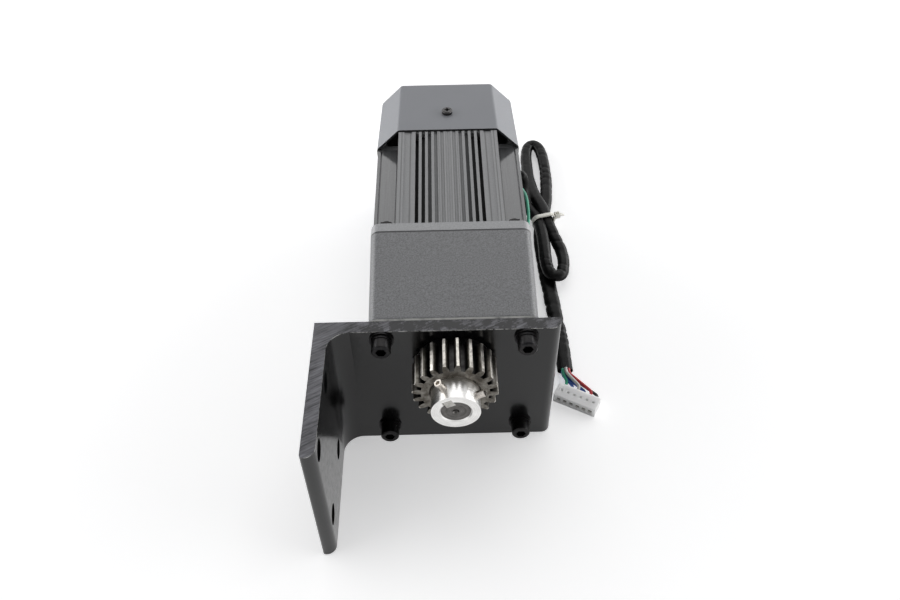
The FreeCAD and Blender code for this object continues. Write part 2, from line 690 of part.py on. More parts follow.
def gear_case():
    """Tapered die-cast case with screw columns, bearing seats and a shaft boss."""
    outer = Part.makeLoft([rounded_square(CASE_FRONT, CASE_CORNER_R, FACE),
                           rounded_square(CASE_REAR, CASE_CORNER_R, CASE_END)], True, True)
    outer = outer.makeFillet(CASE_EDGE_R, edges_at(outer, FACE))
    columns = [rod(CASE_COLUMN_R, FACE, CASE_END, p) for p in square_pattern(BOLT_SQUARE)]
    hollow = drill(square_prism(CASE_INSIDE, CASE_INNER_R, CAVITY, BACK_PLATE + 1), columns)
    case = outer.cut(hollow)
    for x, z in four_ways(PLATE_SCREW_X, PLATE_SCREW_Z):
        wall_x = math.copysign(CASE_INSIDE / 2 + 1, x)
        y0 = BACK_PLATE - PLATE_SCREW_LENGTH
        web = box(min(x, wall_x), max(x, wall_x), y0, BACK_PLATE, z - PLATE_LUG_R, z + PLATE_LUG_R)
        case = case.fuse([rod(PLATE_LUG_R, y0, BACK_PLATE, (x, z)), web])
    case = case.fuse(rod(CASE_BOSS_D / 2, FACE - CASE_BOSS_H, FACE + CASE_WALL))
    seat = square_prism(CASE_INSIDE + 2 * PLATE_LEDGE, CASE_INNER_R, BACK_PLATE, CASE_END + 1)
    tools = [drill(seat, columns)]
    tools += [rod(BOLT_D / 2 + SLACK, FACE - 1, CASE_END + 1, p) for p in square_pattern(BOLT_SQUARE)]
    tools += [rod(PLATE_SCREW_D / 2 + FIT, CASE_END - PLATE_SCREW_LENGTH - AIR, BACK_PLATE + 1, p)
              for p in four_ways(PLATE_SCREW_X, PLATE_SCREW_Z)]
    tools.append(rod(BEARING_OUTPUT[1] / 2, CAVITY - BEARING_OUTPUT[2], CAVITY + 1))
    tools.append(rod(SEAL_D / 2, FACE - CASE_BOSS_H - 1, CAVITY))
    tools += [rod(BUSH_D / 2, CAVITY - BUSH_LENGTH, CAVITY + 1, a) for a in (AXIS_IDLER_1, AXIS_IDLER_2)]
    return drill(case, tools).removeSplitter()


def case_rear_plate():
    width = CASE_INSIDE + 2 * (PLATE_LEDGE - SLACK)
    plate = square_prism(width, CASE_INNER_R, BACK_PLATE, CASE_END)
    columns = square_pattern(BOLT_SQUARE)
    tools = [rod(CASE_COLUMN_R + SLACK, BACK_PLATE - 1, CASE_END + 1, p) for p in columns]
    tools.append(rod(MOTOR_HOLE_D / 2, BACK_PLATE - 1, CASE_END + 1, AXIS_MOTOR))
    tools.append(rod(SPIGOT_D / 2 + FIT, CASE_END - SPIGOT_H - SLACK, CASE_END + 1, AXIS_MOTOR))
    tools.append(rod(BEARING_TAIL[1] / 2, BACK_PLATE - 1, BACK_PLATE + BEARING_TAIL[2]))
    for axis in (AXIS_IDLER_1, AXIS_IDLER_2):
        tools.append(rod(BUSH_D / 2, BACK_PLATE - 1, BACK_PLATE + BUSH_LENGTH, axis))
    for p in four_ways(PLATE_SCREW_X, PLATE_SCREW_Z):
        tools.append(rod(PLATE_SCREW_D / 2 + FIT, BACK_PLATE - 1, CASE_END + 1, p))
        tools.append(countersink(p, FIT))
    return drill(plate, tools)


def countersink(p, clearance):
    depth = (PLATE_SCREW_HEAD_D - PLATE_SCREW_D) / 2
    return Part.makeCone(PLATE_SCREW_D / 2 + clearance, PLATE_SCREW_HEAD_D / 2 + clearance, depth,
                         vec(p[0], CASE_END - depth, p[1]), vec(0, 1, 0))


def plate_screws():
    screws = []
    for p in four_ways(PLATE_SCREW_X, PLATE_SCREW_Z):
        shank = rod(PLATE_SCREW_D / 2, CASE_END - PLATE_SCREW_LENGTH, CASE_END, p)
        screws.append(shank.fuse(countersink(p, 0)))
    return screws


def shaft_seal():
    front = CAVITY - BEARING_OUTPUT[2] - SEAL_T
    return tube_ring(SEAL_D / 2 - FIT, SHAFT_D / 2 + RUN, front, front + SEAL_T)


def idler_bushes():
    bushes = []
    for axis in (AXIS_IDLER_1, AXIS_IDLER_2):
        for y0 in (CAVITY - BUSH_LENGTH, BACK_PLATE):
            bushes.append(tube_ring(BUSH_D / 2 - FIT, IDLER_D / 2 + RUN, y0, y0 + BUSH_LENGTH, axis))
    return bushes


def stage_room(share):
    """Where a stage's teeth start and end along the case."""
    room = BACK_PLATE - CAVITY
    return CAVITY + share[0] * room, CAVITY + share[1] * room


def output_train():
    collar = CAVITY + AIR
    gear_front, gear_rear = stage_room(STAGE_3_SHARE)
    shaft_front = PINION_FRONT - HUB_OVERHANG + SHAFT_RECESS
    tail_end = BACK_PLATE + BEARING_TAIL[2]
    shaft = stepped([(SHAFT_D / 2, shaft_front, CAVITY),
                     (OUTPUT_COLLAR_D / 2, CAVITY, gear_front),
                     (OUTPUT_SEAT_D / 2, gear_front, gear_rear),
                     (OUTPUT_WAIST_D / 2, gear_rear, BACK_PLATE),
                     (BEARING_TAIL[0] / 2, BACK_PLATE, tail_end)], AXIS_OUT)
    keyway_floor = SHAFT_D / 2 - KEY_DEPTH
    keyway = key_block(shaft_front - 1, shaft_front + KEY_LENGTH + FIT, KEY_SIDE, keyway_floor, SHAFT_D)
    cone_depth = (CENTRE_HOLE_D - CENTRE_PILOT_D) / 2 * math.sqrt(3)
    centre = Part.makeCone(CENTRE_HOLE_D / 2, CENTRE_PILOT_D / 2, cone_depth,
                           vec(0, shaft_front, 0), vec(0, 1, 0))
    centre = centre.fuse(rod(CENTRE_PILOT_D / 2, shaft_front, shaft_front + CENTRE_HOLE_DEPTH))
    wheel = stage_wheel(STAGE_3, gear_front, gear_rear, AXIS_OUT, AXIS_IDLER_2)
    wheel = wheel.cut(rod(OUTPUT_SEAT_D / 2 + FIT, collar, gear_rear + 1))
    return {"output_shaft": shaft.cut(keyway).cut(centre), "output_gear": wheel}


def idler_train():
    """Two idlers, each a stepped shaft with a wheel and a pinion pressed on."""
    tail = BACK_PLATE + BUSH_LENGTH
    nose = CAVITY - BUSH_LENGTH
    low, shoulder = IDLER_D / 2, IDLER_SHOULDER_D / 2
    two_start, two_end = stage_room(STAGE_2_SHARE)
    one_start, one_end = stage_room(STAGE_1_SHARE)
    front_stop = CAVITY + AIR
    rear_stop = BACK_PLATE - AIR

    def bored(gear, y0, y1, axis):
        return gear.cut(rod(low + FIT, y0 - 1, y1 + 1, axis))

    a = AXIS_IDLER_1
    steps = [(low, nose, front_stop), (shoulder, front_stop, two_start), (low, two_start, tail)]
    shaft_1 = stepped(steps, a)
    pinion_1 = bored(stage_pinion(STAGE_2, two_start, one_start, a, AXIS_IDLER_2), two_start, one_start, a)
    wheel_1 = stage_wheel(STAGE_1, one_start, one_end, a, AXIS_MOTOR)
    wheel_1 = wheel_1.fuse(rod(shoulder, one_end, rear_stop, a))
    wheel_1 = bored(wheel_1, one_start, rear_stop, a)
    b = AXIS_IDLER_2
    shaft_2 = stepped([(low, nose, two_end), (shoulder, two_end, rear_stop), (low, rear_stop, tail)], b)
    pinion_2 = bored(stage_pinion(STAGE_3, front_stop, two_start, b, AXIS_OUT), front_stop, two_start, b)
    wheel_2 = bored(stage_wheel(STAGE_2, two_start, two_end, b, AXIS_IDLER_1), two_start, two_end, b)
    return {"idler_1_shaft": shaft_1, "idler_1_pinion": pinion_1, "idler_1_gear": wheel_1,
            "idler_2_shaft": shaft_2, "idler_2_pinion": pinion_2, "idler_2_gear": wheel_2}


def bearings():
    front_out, front_in = bearing_rings(BEARING_OUTPUT, CAVITY - BEARING_OUTPUT[2], AXIS_OUT)
    tail_out, tail_in = bearing_rings(BEARING_TAIL, BACK_PLATE, AXIS_OUT)
    drive_out, drive_in = bearing_rings(BEARING_MOTOR, FRONT_BEARING, AXIS_MOTOR)
    rear_out, rear_in = bearing_rings(BEARING_MOTOR, REAR_BEARING, AXIS_MOTOR)
    return {"output_bearing_outer_rings": [front_out, tail_out],
            "output_bearing_inner_rings": [front_in, tail_in],
            "motor_bearing_outer_rings": [drive_out, rear_out],
            "motor_bearing_inner_rings": [drive_in, rear_in]}


# Motor

def frame_register(y0, y1):
    """Ring that centres an end plate in the frame's bore."""
    return tube_ring(FRAME_BORE_R - FIT, FRAME_BORE_R - REGISTER_T, y0, y1, AXIS_MOTOR)


def motor_flange():
    """Front end plate: screw holes, spigot into the gear case, bearing boss, frame register."""
    bearing_r = BEARING_MOTOR[1] / 2
    boss_end = FRONT_BEARING + BEARING_MOTOR[2]
    plate = square_prism(CASE_REAR, CASE_CORNER_R, CASE_END, FLANGE_END)
    plate = plate.makeChamfer(SEAM_CHAMFER, edges_at(plate, CASE_END))
    spigot = rod(SPIGOT_D / 2, CASE_END - SPIGOT_H, CASE_END + 1, AXIS_MOTOR)
    boss = rod(bearing_r + BEARING_BOSS_T, CASE_END + 1, boss_end, AXIS_MOTOR)
    flange = plate.fuse([spigot, boss, frame_register(FLANGE_END - 1, FLANGE_END + REGISTER_H)])
    tools = [rod(BOLT_D / 2 + SLACK, CASE_END - 1, FLANGE_END + 1, p) for p in square_pattern(BOLT_SQUARE)]
    tools += [rod(TIE_D / 2 + FIT, FLANGE_END - TIE_ENGAGE, FLANGE_END + 1, p)
              for p in four_ways(TIE_X, TIE_Z)]
    tools.append(rod(MOTOR_HOLE_D / 2, CASE_END - SPIGOT_H - 1, boss_end, AXIS_MOTOR))
    tools.append(rod(bearing_r, FRONT_BEARING, boss_end + 1, AXIS_MOTOR))
    tools.append(earth_hole())
    return drill(flange, tools).removeSplitter()


def fin_grooves():
    """Groove places along one side of the frame, left to right: centre, width and floor height."""
    panel = FRAME_BLOCK / 2 - PANEL_INSET - PANEL_W / 2
    grooves = [(s * panel, PANEL_W, HALF - PANEL_DEPTH) for s in (-1, 1)]
    for k in range(FIN_GROOVES):
        u = (k - (FIN_GROOVES - 1) / 2) * FIN_PITCH
        deeper = FIN_ARC_R - math.sqrt(FIN_ARC_R ** 2 - u ** 2)
        grooves.append((u, FIN_GROOVE, HALF - FIN_DEPTH - deeper))
    return sorted(grooves)


def frame_quarter():
    """One side of the frame's section and the corner after it, as (across, out) points."""
    b = FRAME_BLOCK / 2
    lip, groove = HALF - LIP_W, HALF - LIP_W - LIP_GROOVE
    side = [(LIP_DEPTH - b, groove), (LIP_DEPTH - b, lip), (-b, lip), (-b, HALF)]
    for u, w, floor in fin_grooves():
        side += [(u - w / 2, HALF), (u - w / 2, floor), (u + w / 2, floor), (u + w / 2, HALF)]
    side += [(b, HALF), (b, lip), (b - LIP_DEPTH, lip), (b - LIP_DEPTH, groove), (b, groove)]
    near, far = b - RELIEF_DEPTH, b + RELIEF_W
    side += [(b, far), (near, far), (near, near), (far, near), (far, b), (groove, b)]
    return side


def finned_frame():
    """Extruded cross section: four finned blocks, open corners, round bore."""
    outline = []
    for k in range(4):
        c, s = round(math.cos(math.pi / 2 * k)), round(math.sin(math.pi / 2 * k))
        outline += [(u * c + v * s, MOTOR_Z + v * c - u * s) for u, v in frame_quarter()]
    frame = polygon_prism(outline, FLANGE_END, FRAME_END)
    tools = [rod(FRAME_BORE_R, FLANGE_END - 1, FRAME_END + 1, AXIS_MOTOR)]
    tools += [rod(TIE_D / 2 + SLACK, FLANGE_END - 1, FRAME_END + 1, p) for p in four_ways(TIE_X, TIE_Z)]
    return drill(frame, tools)


def slot_section(clearance):
    """One stator slot as (radius, half width) pairs from the bore outwards."""
    bore = ROTOR_R + AIR_GAP
    tip = bore + SLOT_TIP
    bottom = SLOT_BOTTOM_R
    step = math.pi / STATOR_SLOTS

    def half_width(r):
        return r * math.sin(step) - TOOTH_W / 2 - clearance

    return bore, tip + clearance, bottom - clearance, half_width(tip), half_width(bottom)


def slot_prism(clearance, opening, y0, y1):
    bore, tip, bottom, tip_half, bottom_half = slot_section(clearance)
    points = [(tip, tip_half), (bottom, bottom_half), (bottom, -bottom_half), (tip, -tip_half)]
    if opening:
        o = SLOT_OPENING / 2
        points = [(bore - 1, o), (tip, o)] + points + [(tip, -o), (bore - 1, -o)]
    return polygon_prism([(u, MOTOR_Z + v) for u, v in points], y0, y1)


def stator():
    core = tube_ring(FRAME_BORE_R - FIT, ROTOR_R + AIR_GAP, STACK_FRONT, STACK_REAR, AXIS_MOTOR)
    slot = slot_prism(0, True, STACK_FRONT - 1, STACK_REAR + 1)
    turns = [360.0 * k / STATOR_SLOTS for k in range(STATOR_SLOTS)]
    core = drill(core, [spin_y(slot, t) for t in turns])
    inner = slot_section(COIL_GAP)[1]
    outer = slot_section(COIL_GAP)[2]
    overhang = COIL_LENGTH + COIL_GAP
    bar = slot_prism(COIL_GAP, False, STACK_FRONT - overhang + 1, STACK_REAR + overhang - 1)
    front = tube_ring(outer, inner, STACK_FRONT - overhang, STACK_FRONT - COIL_GAP, AXIS_MOTOR)
    rear = tube_ring(outer, inner, STACK_REAR + COIL_GAP, STACK_REAR + overhang, AXIS_MOTOR)
    coils = front.fuse([rear] + [spin_y(bar, t) for t in turns])
    return {"stator_core": core, "stator_windings": coils.removeSplitter()}


def rotor():
    bars_r = ROTOR_R - BAR_INSET - BAR_D / 2
    places = ring_places(ROTOR_BARS, bars_r, AXIS_MOTOR)
    core = tube_ring(ROTOR_R, ROTOR_SEAT_D / 2 + FIT, STACK_FRONT, STACK_REAR, AXIS_MOTOR)
    core = drill(core, [rod(BAR_D / 2 + FIT, STACK_FRONT - 1, STACK_REAR + 1, p) for p in places])
    ring_out = ROTOR_R - BAR_INSET / 2
    rings = [tube_ring(ring_out, ring_out - CAGE_RING_W, y0, y0 + CAGE_RING_T, AXIS_MOTOR)
             for y0 in (STACK_FRONT - CAGE_RING_T, STACK_REAR)]
    bars = [rod(BAR_D / 2, STACK_FRONT - CAGE_RING_T / 2, STACK_REAR + CAGE_RING_T / 2, p) for p in places]
    cage = rings[0].fuse(rings[1:] + bars).removeSplitter()
    teeth_start, teeth_end = stage_room(STAGE_1_SHARE)
    pinion = stage_pinion(STAGE_1, teeth_start, teeth_end, AXIS_MOTOR, AXIS_IDLER_1)
    front_seat_end = FRONT_BEARING + BEARING_MOTOR[2]
    rear_seat_end = REAR_BEARING + BEARING_MOTOR[2]
    shaft = stepped([(NECK_D / 2, teeth_end, FRONT_BEARING),
                     (BEARING_MOTOR[0] / 2, FRONT_BEARING, front_seat_end),
                     (ROTOR_SHOULDER_D / 2, front_seat_end, STACK_FRONT),
                     (ROTOR_SEAT_D / 2, STACK_FRONT, STACK_REAR),
                     (ROTOR_SHOULDER_D / 2, STACK_REAR, REAR_BEARING),
                     (BEARING_MOTOR[0] / 2, REAR_BEARING, rear_seat_end),
                     (TACHO_SEAT_D / 2, rear_seat_end, FAN_START),
                     (FAN_SEAT_D / 2, FAN_START, FAN_END + CLIP_T + CLIP_SEAT + 1)], AXIS_MOTOR)
    shaft = shaft.fuse(pinion)
    clip_y = FAN_END
    groove = tube_ring(FAN_SEAT_D, FAN_SEAT_D / 2 - CLIP_SEAT, clip_y, clip_y + CLIP_T + FIT, AXIS_MOTOR)
    clip = tube_ring(CLIP_D / 2, FAN_SEAT_D / 2 - CLIP_SEAT + FIT, clip_y, clip_y + CLIP_T, AXIS_MOTOR)
    half_gap = FAN_SEAT_D / 2 - CLIP_SEAT
    gap = box(-half_gap, half_gap, clip_y - 1, clip_y + CLIP_T + 1, MOTOR_Z - CLIP_D, MOTOR_Z)
    return {"motor_shaft": shaft.cut(groove), "rotor_core": core, "rotor_cage": cage,
            "fan_clip": clip.cut(gap)}


def rear_end_bracket():
    """Rear end plate inside the cover, with the bearing boss and four lugs for the cover."""
    web_end = FRAME_END + END_WEB_T
    b = FRAME_BLOCK / 2 - COVER_T
    rim = HALF - COVER_T - SLACK
    upright = box(-b, b, FRAME_END, web_end, MOTOR_Z - rim, MOTOR_Z + rim)
    across = box(-rim, rim, FRAME_END, web_end, MOTOR_Z - b, MOTOR_Z + b)
    boss = rod(BEARING_MOTOR[1] / 2 + BEARING_BOSS_T, REAR_BEARING, END_WALL + END_WALL_T, AXIS_MOTOR)
    register = frame_register(FRAME_END - REGISTER_H, FRAME_END + 1)
    lug_end = web_end + LUG_LENGTH
    lug = box(-LUG_W / 2, LUG_W / 2, FRAME_END + 1, lug_end, MOTOR_Z + rim - LUG_T, MOTOR_Z + rim)
    bracket = upright.fuse([across, boss, register] + [spin_y(lug, 90 * k) for k in range(4)])
    tools = [rod(BEARING_MOTOR[1] / 2, REAR_BEARING - 1, END_WALL, AXIS_MOTOR),
             rod(BEARING_MOTOR[0] / 2 + AIR, REAR_BEARING, END_WALL + END_WALL_T + 1, AXIS_MOTOR)]
    tools += [rod(TIE_D / 2 + SLACK, FRAME_END - 1, web_end + 1, p) for p in four_ways(TIE_X, TIE_Z)]
    tools += [spin_y(cover_screw_bore(FIT), 90 * k) for k in range(4)]
    return drill(bracket, tools).removeSplitter()


def cover_screw_bore(clearance):
    start = vec(0, FRAME_END + COVER_SCREW_SET, MOTOR_Z + HALF - COVER_SCREW_LENGTH)
    return Part.makeCylinder(COVER_SCREW_D / 2 + clearance, COVER_SCREW_LENGTH + COVER_T, start, vec(0, 0, 1))


def cover_screws():
    """Round-headed cross-recess screws, each head seated on the cover's sloping side."""
    y = FRAME_END + COVER_SCREW_SET
    slope = COVER_DRAFT / COVER_LENGTH
    seat = MOTOR_Z + COVER_FRONT_HALF - slope * (y - COVER_START)
    top = seat + COVER_SCREW_HEAD_H
    r = COVER_SCREW_HEAD_D / 2
    head = Part.makeCylinder(r, COVER_SCREW_HEAD_H + SLACK, vec(0, y, seat - SLACK), vec(0, 0, 1))
    rim = [e for e in head.Edges if all(abs(v.Point.z - top) < 1e-6 for v in e.Vertexes)]
    head = head.makeFillet(COVER_SCREW_HEAD_H / 3, rim).cut(cover_form(0))
    long, short = COVER_SCREW_CROSS / 2, COVER_SCREW_CROSS / 6
    recess = [box(-a, a, y - b, y + b, seat + COVER_SCREW_HEAD_H / 3, top)
              for a, b in ((long, short), (short, long))]
    screw = head.fuse(cover_screw_bore(0)).cut(recess[0]).cut(recess[1])
    return [spin_y(screw, 90 * k) for k in range(4)]


def tie_bolts():
    bolts = []
    seat = FRAME_END + END_WEB_T
    for p in four_ways(TIE_X, TIE_Z):
        head = rod(TIE_HEAD_D / 2, seat, seat + TIE_HEAD_H, p)
        bolts.append(rod(TIE_D / 2, FLANGE_END - TIE_ENGAGE, seat, p).fuse(head).removeSplitter())
    return bolts


def tachogenerator():
    coil_y = END_WALL + END_WALL_T
    coil_bore = TACHO_MAGNET_D / 2 + TACHO_GAP
    coil = tube_ring(TACHO_COIL_D / 2, coil_bore, coil_y, coil_y + TACHO_COIL_T, AXIS_MOTOR)
    y0 = coil_y + (TACHO_COIL_T - TACHO_MAGNET_T) / 2
    y1 = y0 + TACHO_MAGNET_T
    magnet = tube_ring(TACHO_MAGNET_D / 2, TACHO_SEAT_D / 2 + FIT, y0, y1, AXIS_MOTOR)
    return {"tacho_coil": coil, "tacho_magnet": magnet}


def preload_washer():
    bore, outside, width = BEARING_MOTOR
    start = REAR_BEARING + width
    inner = outside / 2 - RING_SHARE * bore
    return tube_ring(outside / 2 - SLACK, inner, start, start + PRELOAD_T, AXIS_MOTOR)


def cooling_fan():
    """Moulded radial fan: hub, back disc and straight blades."""
    disc = rod(FAN_D / 2, FAN_START, FAN_START + FAN_DISC_T, AXIS_MOTOR)
    hub = rod(FAN_HUB_D / 2, FAN_START, FAN_END, AXIS_MOTOR)
    blade = box(FAN_HUB_D / 2 - 1, FAN_D / 2, FAN_START + FAN_DISC_T / 2, FAN_END - AIR,
                MOTOR_Z - FAN_BLADE_T / 2, MOTOR_Z + FAN_BLADE_T / 2)
    blades = [spin_y(blade, 360.0 * k / FAN_BLADES) for k in range(FAN_BLADES)]
    blades = [b.common(rod(FAN_D / 2, FAN_START, FAN_END, AXIS_MOTOR)) for b in blades]
    fan = disc.fuse([hub] + blades).removeSplitter()
    return fan.cut(rod(FAN_SEAT_D / 2 + FIT, FAN_START - 1, FAN_END + 1, AXIS_MOTOR))


def chamfered_square(size, chamfer):
    h = size / 2
    flat = h - chamfer
    corners = []
    for k in range(4):
        c, s = round(math.cos(math.pi / 2 * k)), round(math.sin(math.pi / 2 * k))
        corners += [(u * c - v * s, MOTOR_Z + v * c + u * s) for u, v in ((flat, h), (-flat, h))]
    return corners


def cover_form(inset):
    """The cover's tapered outer form, or its inner form when inset by the wall."""
    end = COVER_END - inset
    front, rear = [], []
    for half, y, ring in ((COVER_FRONT_HALF, COVER_START, front), (COVER_REAR_HALF, end, rear)):
        chamfer = COVER_CHAMFER * half / COVER_FRONT_HALF - inset * (2 - math.sqrt(2))
        ring += [vec(x, y, z) for x, z in chamfered_square(2 * (half - inset), chamfer)]
    sides = [front, rear] + [[front[k - 1], front[k], rear[k], rear[k - 1]] for k in range(len(front))]
    faces = [Part.Face(Part.makePolygon(ring + ring[:1])) for ring in sides]
    form = Part.makeSolid(Part.makeShell(faces))
    return form.makeFillet(COVER_REAR_R - inset, edges_at(form, end))


def fan_cover():
    """Pressed cover with rounded edges, a slotted grille at the rear, screw holes and the lead's hole."""
    outer = cover_form(0)
    long_edges = [e for e in outer.Edges
                  if abs(e.Vertexes[0].Point.y - e.Vertexes[1].Point.y) > COVER_LENGTH / 2]
    cover = outer.makeFillet(COVER_EDGE_R, long_edges).cut(cover_form(COVER_T))
    slots = []
    rows = int(GRILLE_R / GRILLE_PITCH)
    for k in range(-rows, rows + 1):
        z = k * GRILLE_PITCH
        half = math.sqrt(GRILLE_R ** 2 - z ** 2)
        if half > GRILLE_SLOT:
            slots.append(box(-half, half, COVER_END - COVER_T - 1, COVER_END + 1,
                             MOTOR_Z + z - GRILLE_SLOT / 2, MOTOR_Z + z + GRILLE_SLOT / 2))
    hole_start = vec(0, FRAME_END + COVER_SCREW_SET, MOTOR_Z + HALF - 3 * COVER_T)
    hole = Part.makeCylinder(COVER_SCREW_D / 2 + FIT, 6 * COVER_T, hole_start, vec(0, 0, 1))
    cover = drill(drill(cover, slots), [spin_y(hole, 90 * k) for k in range(4)])
    return cover.cut(grommet_core(GROMMET_D / 2 - GROMMET_LIP + FIT, HALF - 3 * COVER_T, HALF + 1))


# Leads

def grommet_core(r, x0, x1):
    return along_x(r, x0, x1, FRAME_END + GROMMET_SET, MOTOR_Z + GROMMET_Z)


def lead_grommet(cover):
    """Rubber grommet, moulded to both faces of the cover's sloping side."""
    inside = HALF - COVER_T - GROMMET_LIP
    grommet = grommet_core(GROMMET_D / 2, inside, HALF + GROMMET_LIP).cut(cover)
    return grommet.cut(grommet_core(SLEEVE_D / 2 - SLACK, inside - 1, HALF))


def earth_hole():
    return along_x(EARTH_SCREW_D / 2 + FIT, HALF - EARTH_SCREW_LENGTH, HALF, EARTH_Y, EARTH_Z)


def earth_lead():
    """Earth wire from the grommet to a ring lug under a screw in the flange's side."""
    ring_r = EARTH_SCREW_HEAD_D / 2 + LUG_RIM
    barrel_y = EARTH_Y + ring_r - LUG_RIM
    barrel_end = EARTH_Y + ring_r + LUG_BARREL
    wire_x = HALF + EARTH_D / 2 + LUG_BARREL_T
    ring = along_x(ring_r, HALF, HALF + LUG_RING_T, EARTH_Y, EARTH_Z)
    barrel = straight_tube(vec(wire_x, barrel_y, EARTH_Z), vec(wire_x, barrel_end, EARTH_Z),
                           EARTH_D / 2 + LUG_BARREL_T)
    eye = along_x(EARTH_SCREW_D / 2 + FIT, HALF - 1, 2 * HALF, EARTH_Y, EARTH_Z)
    seat = HALF + LUG_RING_T
    head = along_x(EARTH_SCREW_HEAD_D / 2, seat, seat + EARTH_SCREW_HEAD_H, EARTH_Y, EARTH_Z)
    shank = along_x(EARTH_SCREW_D / 2, HALF - EARTH_SCREW_LENGTH, seat, EARTH_Y, EARTH_Z)
    start_y = FRAME_END + GROMMET_SET - GROMMET_D / 2
    span = start_y - barrel_end
    points = [vec(HALF + GROMMET_LIP / 2, start_y, MOTOR_Z + GROMMET_Z + EARTH_RISE)]
    points += [vec(HALF + out, start_y - share * span, MOTOR_Z + up) for out, share, up in EARTH_ROUTE]
    points += [vec(wire_x, start_y - EARTH_LAST_SHARE * span, EARTH_Z), vec(wire_x, barrel_end, EARTH_Z)]
    wire = round_tube(points, EARTH_D, "earth_wire")
    return {"earth_wire": wire, "earth_lug": ring.fuse(barrel).cut(eye),
            "earth_screw": head.fuse(shank).removeSplitter()}


def cable():
    """Sleeved lead: out of the grommet, a tied figure-eight hank, then a run to the plug."""
    over = SLEEVE_Z + SLEEVE_D + SLACK
    waist_z = FLOOR + TIE_BAND_T + SLACK
    half_w = HANK_WAIST_W / 2
    exit_y = FRAME_END + GROMMET_SET
    exit_z = MOTOR_Z + GROMMET_Z
    lead_x = HANK_X - half_w + SLEEVE_D / 2
    lead_z = exit_z - LEAD_DROP
    points = [vec(HALF + GROMMET_LIP, exit_y, exit_z), vec(HALF + LEAD_OUT, exit_y, exit_z),
              vec(lead_x, HANK_REAR + LEAD_STRAIGHT, lead_z), vec(lead_x, HANK_REAR, lead_z)]
    lead = round_tube(points, SLEEVE_D, "cable_lead")
    rear_tips = [(HANK_X + x, HANK_REAR + y) for x, y in REAR_LOOP]
    front_tips = [(HANK_X + x, HANK_FRONT + y) for x, y in FRONT_LOOP]
    waist = box(HANK_X - half_w, HANK_X + half_w, HANK_FRONT, HANK_REAR, waist_z, waist_z + HANK_WAIST_H)
    loops = [racetrack(*rear_tips, REAR_LOOP_R, SLEEVE_Z), racetrack(*front_tips, FRONT_LOOP_R, over)]
    run = [vec(HANK_X + x, HANK_FRONT + y, SLEEVE_Z) for x, y in RUN_ROUTE]
    return {"cable_lead": lead, "cable_hank": waist.fuse(loops).removeSplitter(),
            "cable_run": round_tube(run, SLEEVE_D, "cable_run"),
            "cable_tie": cable_tie(HANK_X, HANK_Y, waist_z)}


def racetrack(a, b, r, z):
    """A closed loop of sleeve between the middles of its two round ends, lying flat."""
    start, end = vec(a[0], a[1], z), vec(b[0], b[1], z)
    along = end.sub(start)
    along.normalize()
    start = start.add(along * r)
    end = end.sub(along * r)
    side = vec(-along.y, along.x, 0) * r
    up = vec(0, 0, 1)
    radius = SLEEVE_D / 2
    pieces = [straight_tube(start.add(side), end.add(side), radius),
              straight_tube(start.sub(side), end.sub(side), radius),
              bent_tube(end.sub(side), along, end, up, radius, 180),
              bent_tube(start.add(side), along, start, up, radius, 180)]
    return pieces[0].fuse(pieces[1:])


def cable_tie(x, y, z):
    """Nylon tie: a band round the hank, its lock block and the cut tail."""
    half = HANK_WAIST_W / 2
    inner = box(x - half, x + half, y - TIE_BAND_W, y + TIE_BAND_W, z, z + HANK_WAIST_H)
    outer = box(x - half - TIE_BAND_T, x + half + TIE_BAND_T, y - TIE_BAND_W / 2, y + TIE_BAND_W / 2,
                z - TIE_BAND_T, z + HANK_WAIST_H + TIE_BAND_T)
    long_edges = [e for e in outer.Edges if abs(e.Vertexes[0].Point.y - e.Vertexes[1].Point.y) > 1]
    band = outer.makeFillet(TIE_BAND_T, long_edges).cut(inner)
    near, far = x + half, x + half + TIE_BLOCK
    top = z + HANK_WAIST_H
    middle = top - TIE_BLOCK / 2
    block = box(near, far, y - TIE_BLOCK / 2, y + TIE_BLOCK / 2, top - TIE_BLOCK, top)
    tail = box(far - 1, far + TIE_TAIL, y - TIE_BAND_W / 2, y + TIE_BAND_W / 2,
               middle - TIE_BAND_T / 2, middle + TIE_BAND_T / 2)
    return band.fuse([block, tail]).removeSplitter()


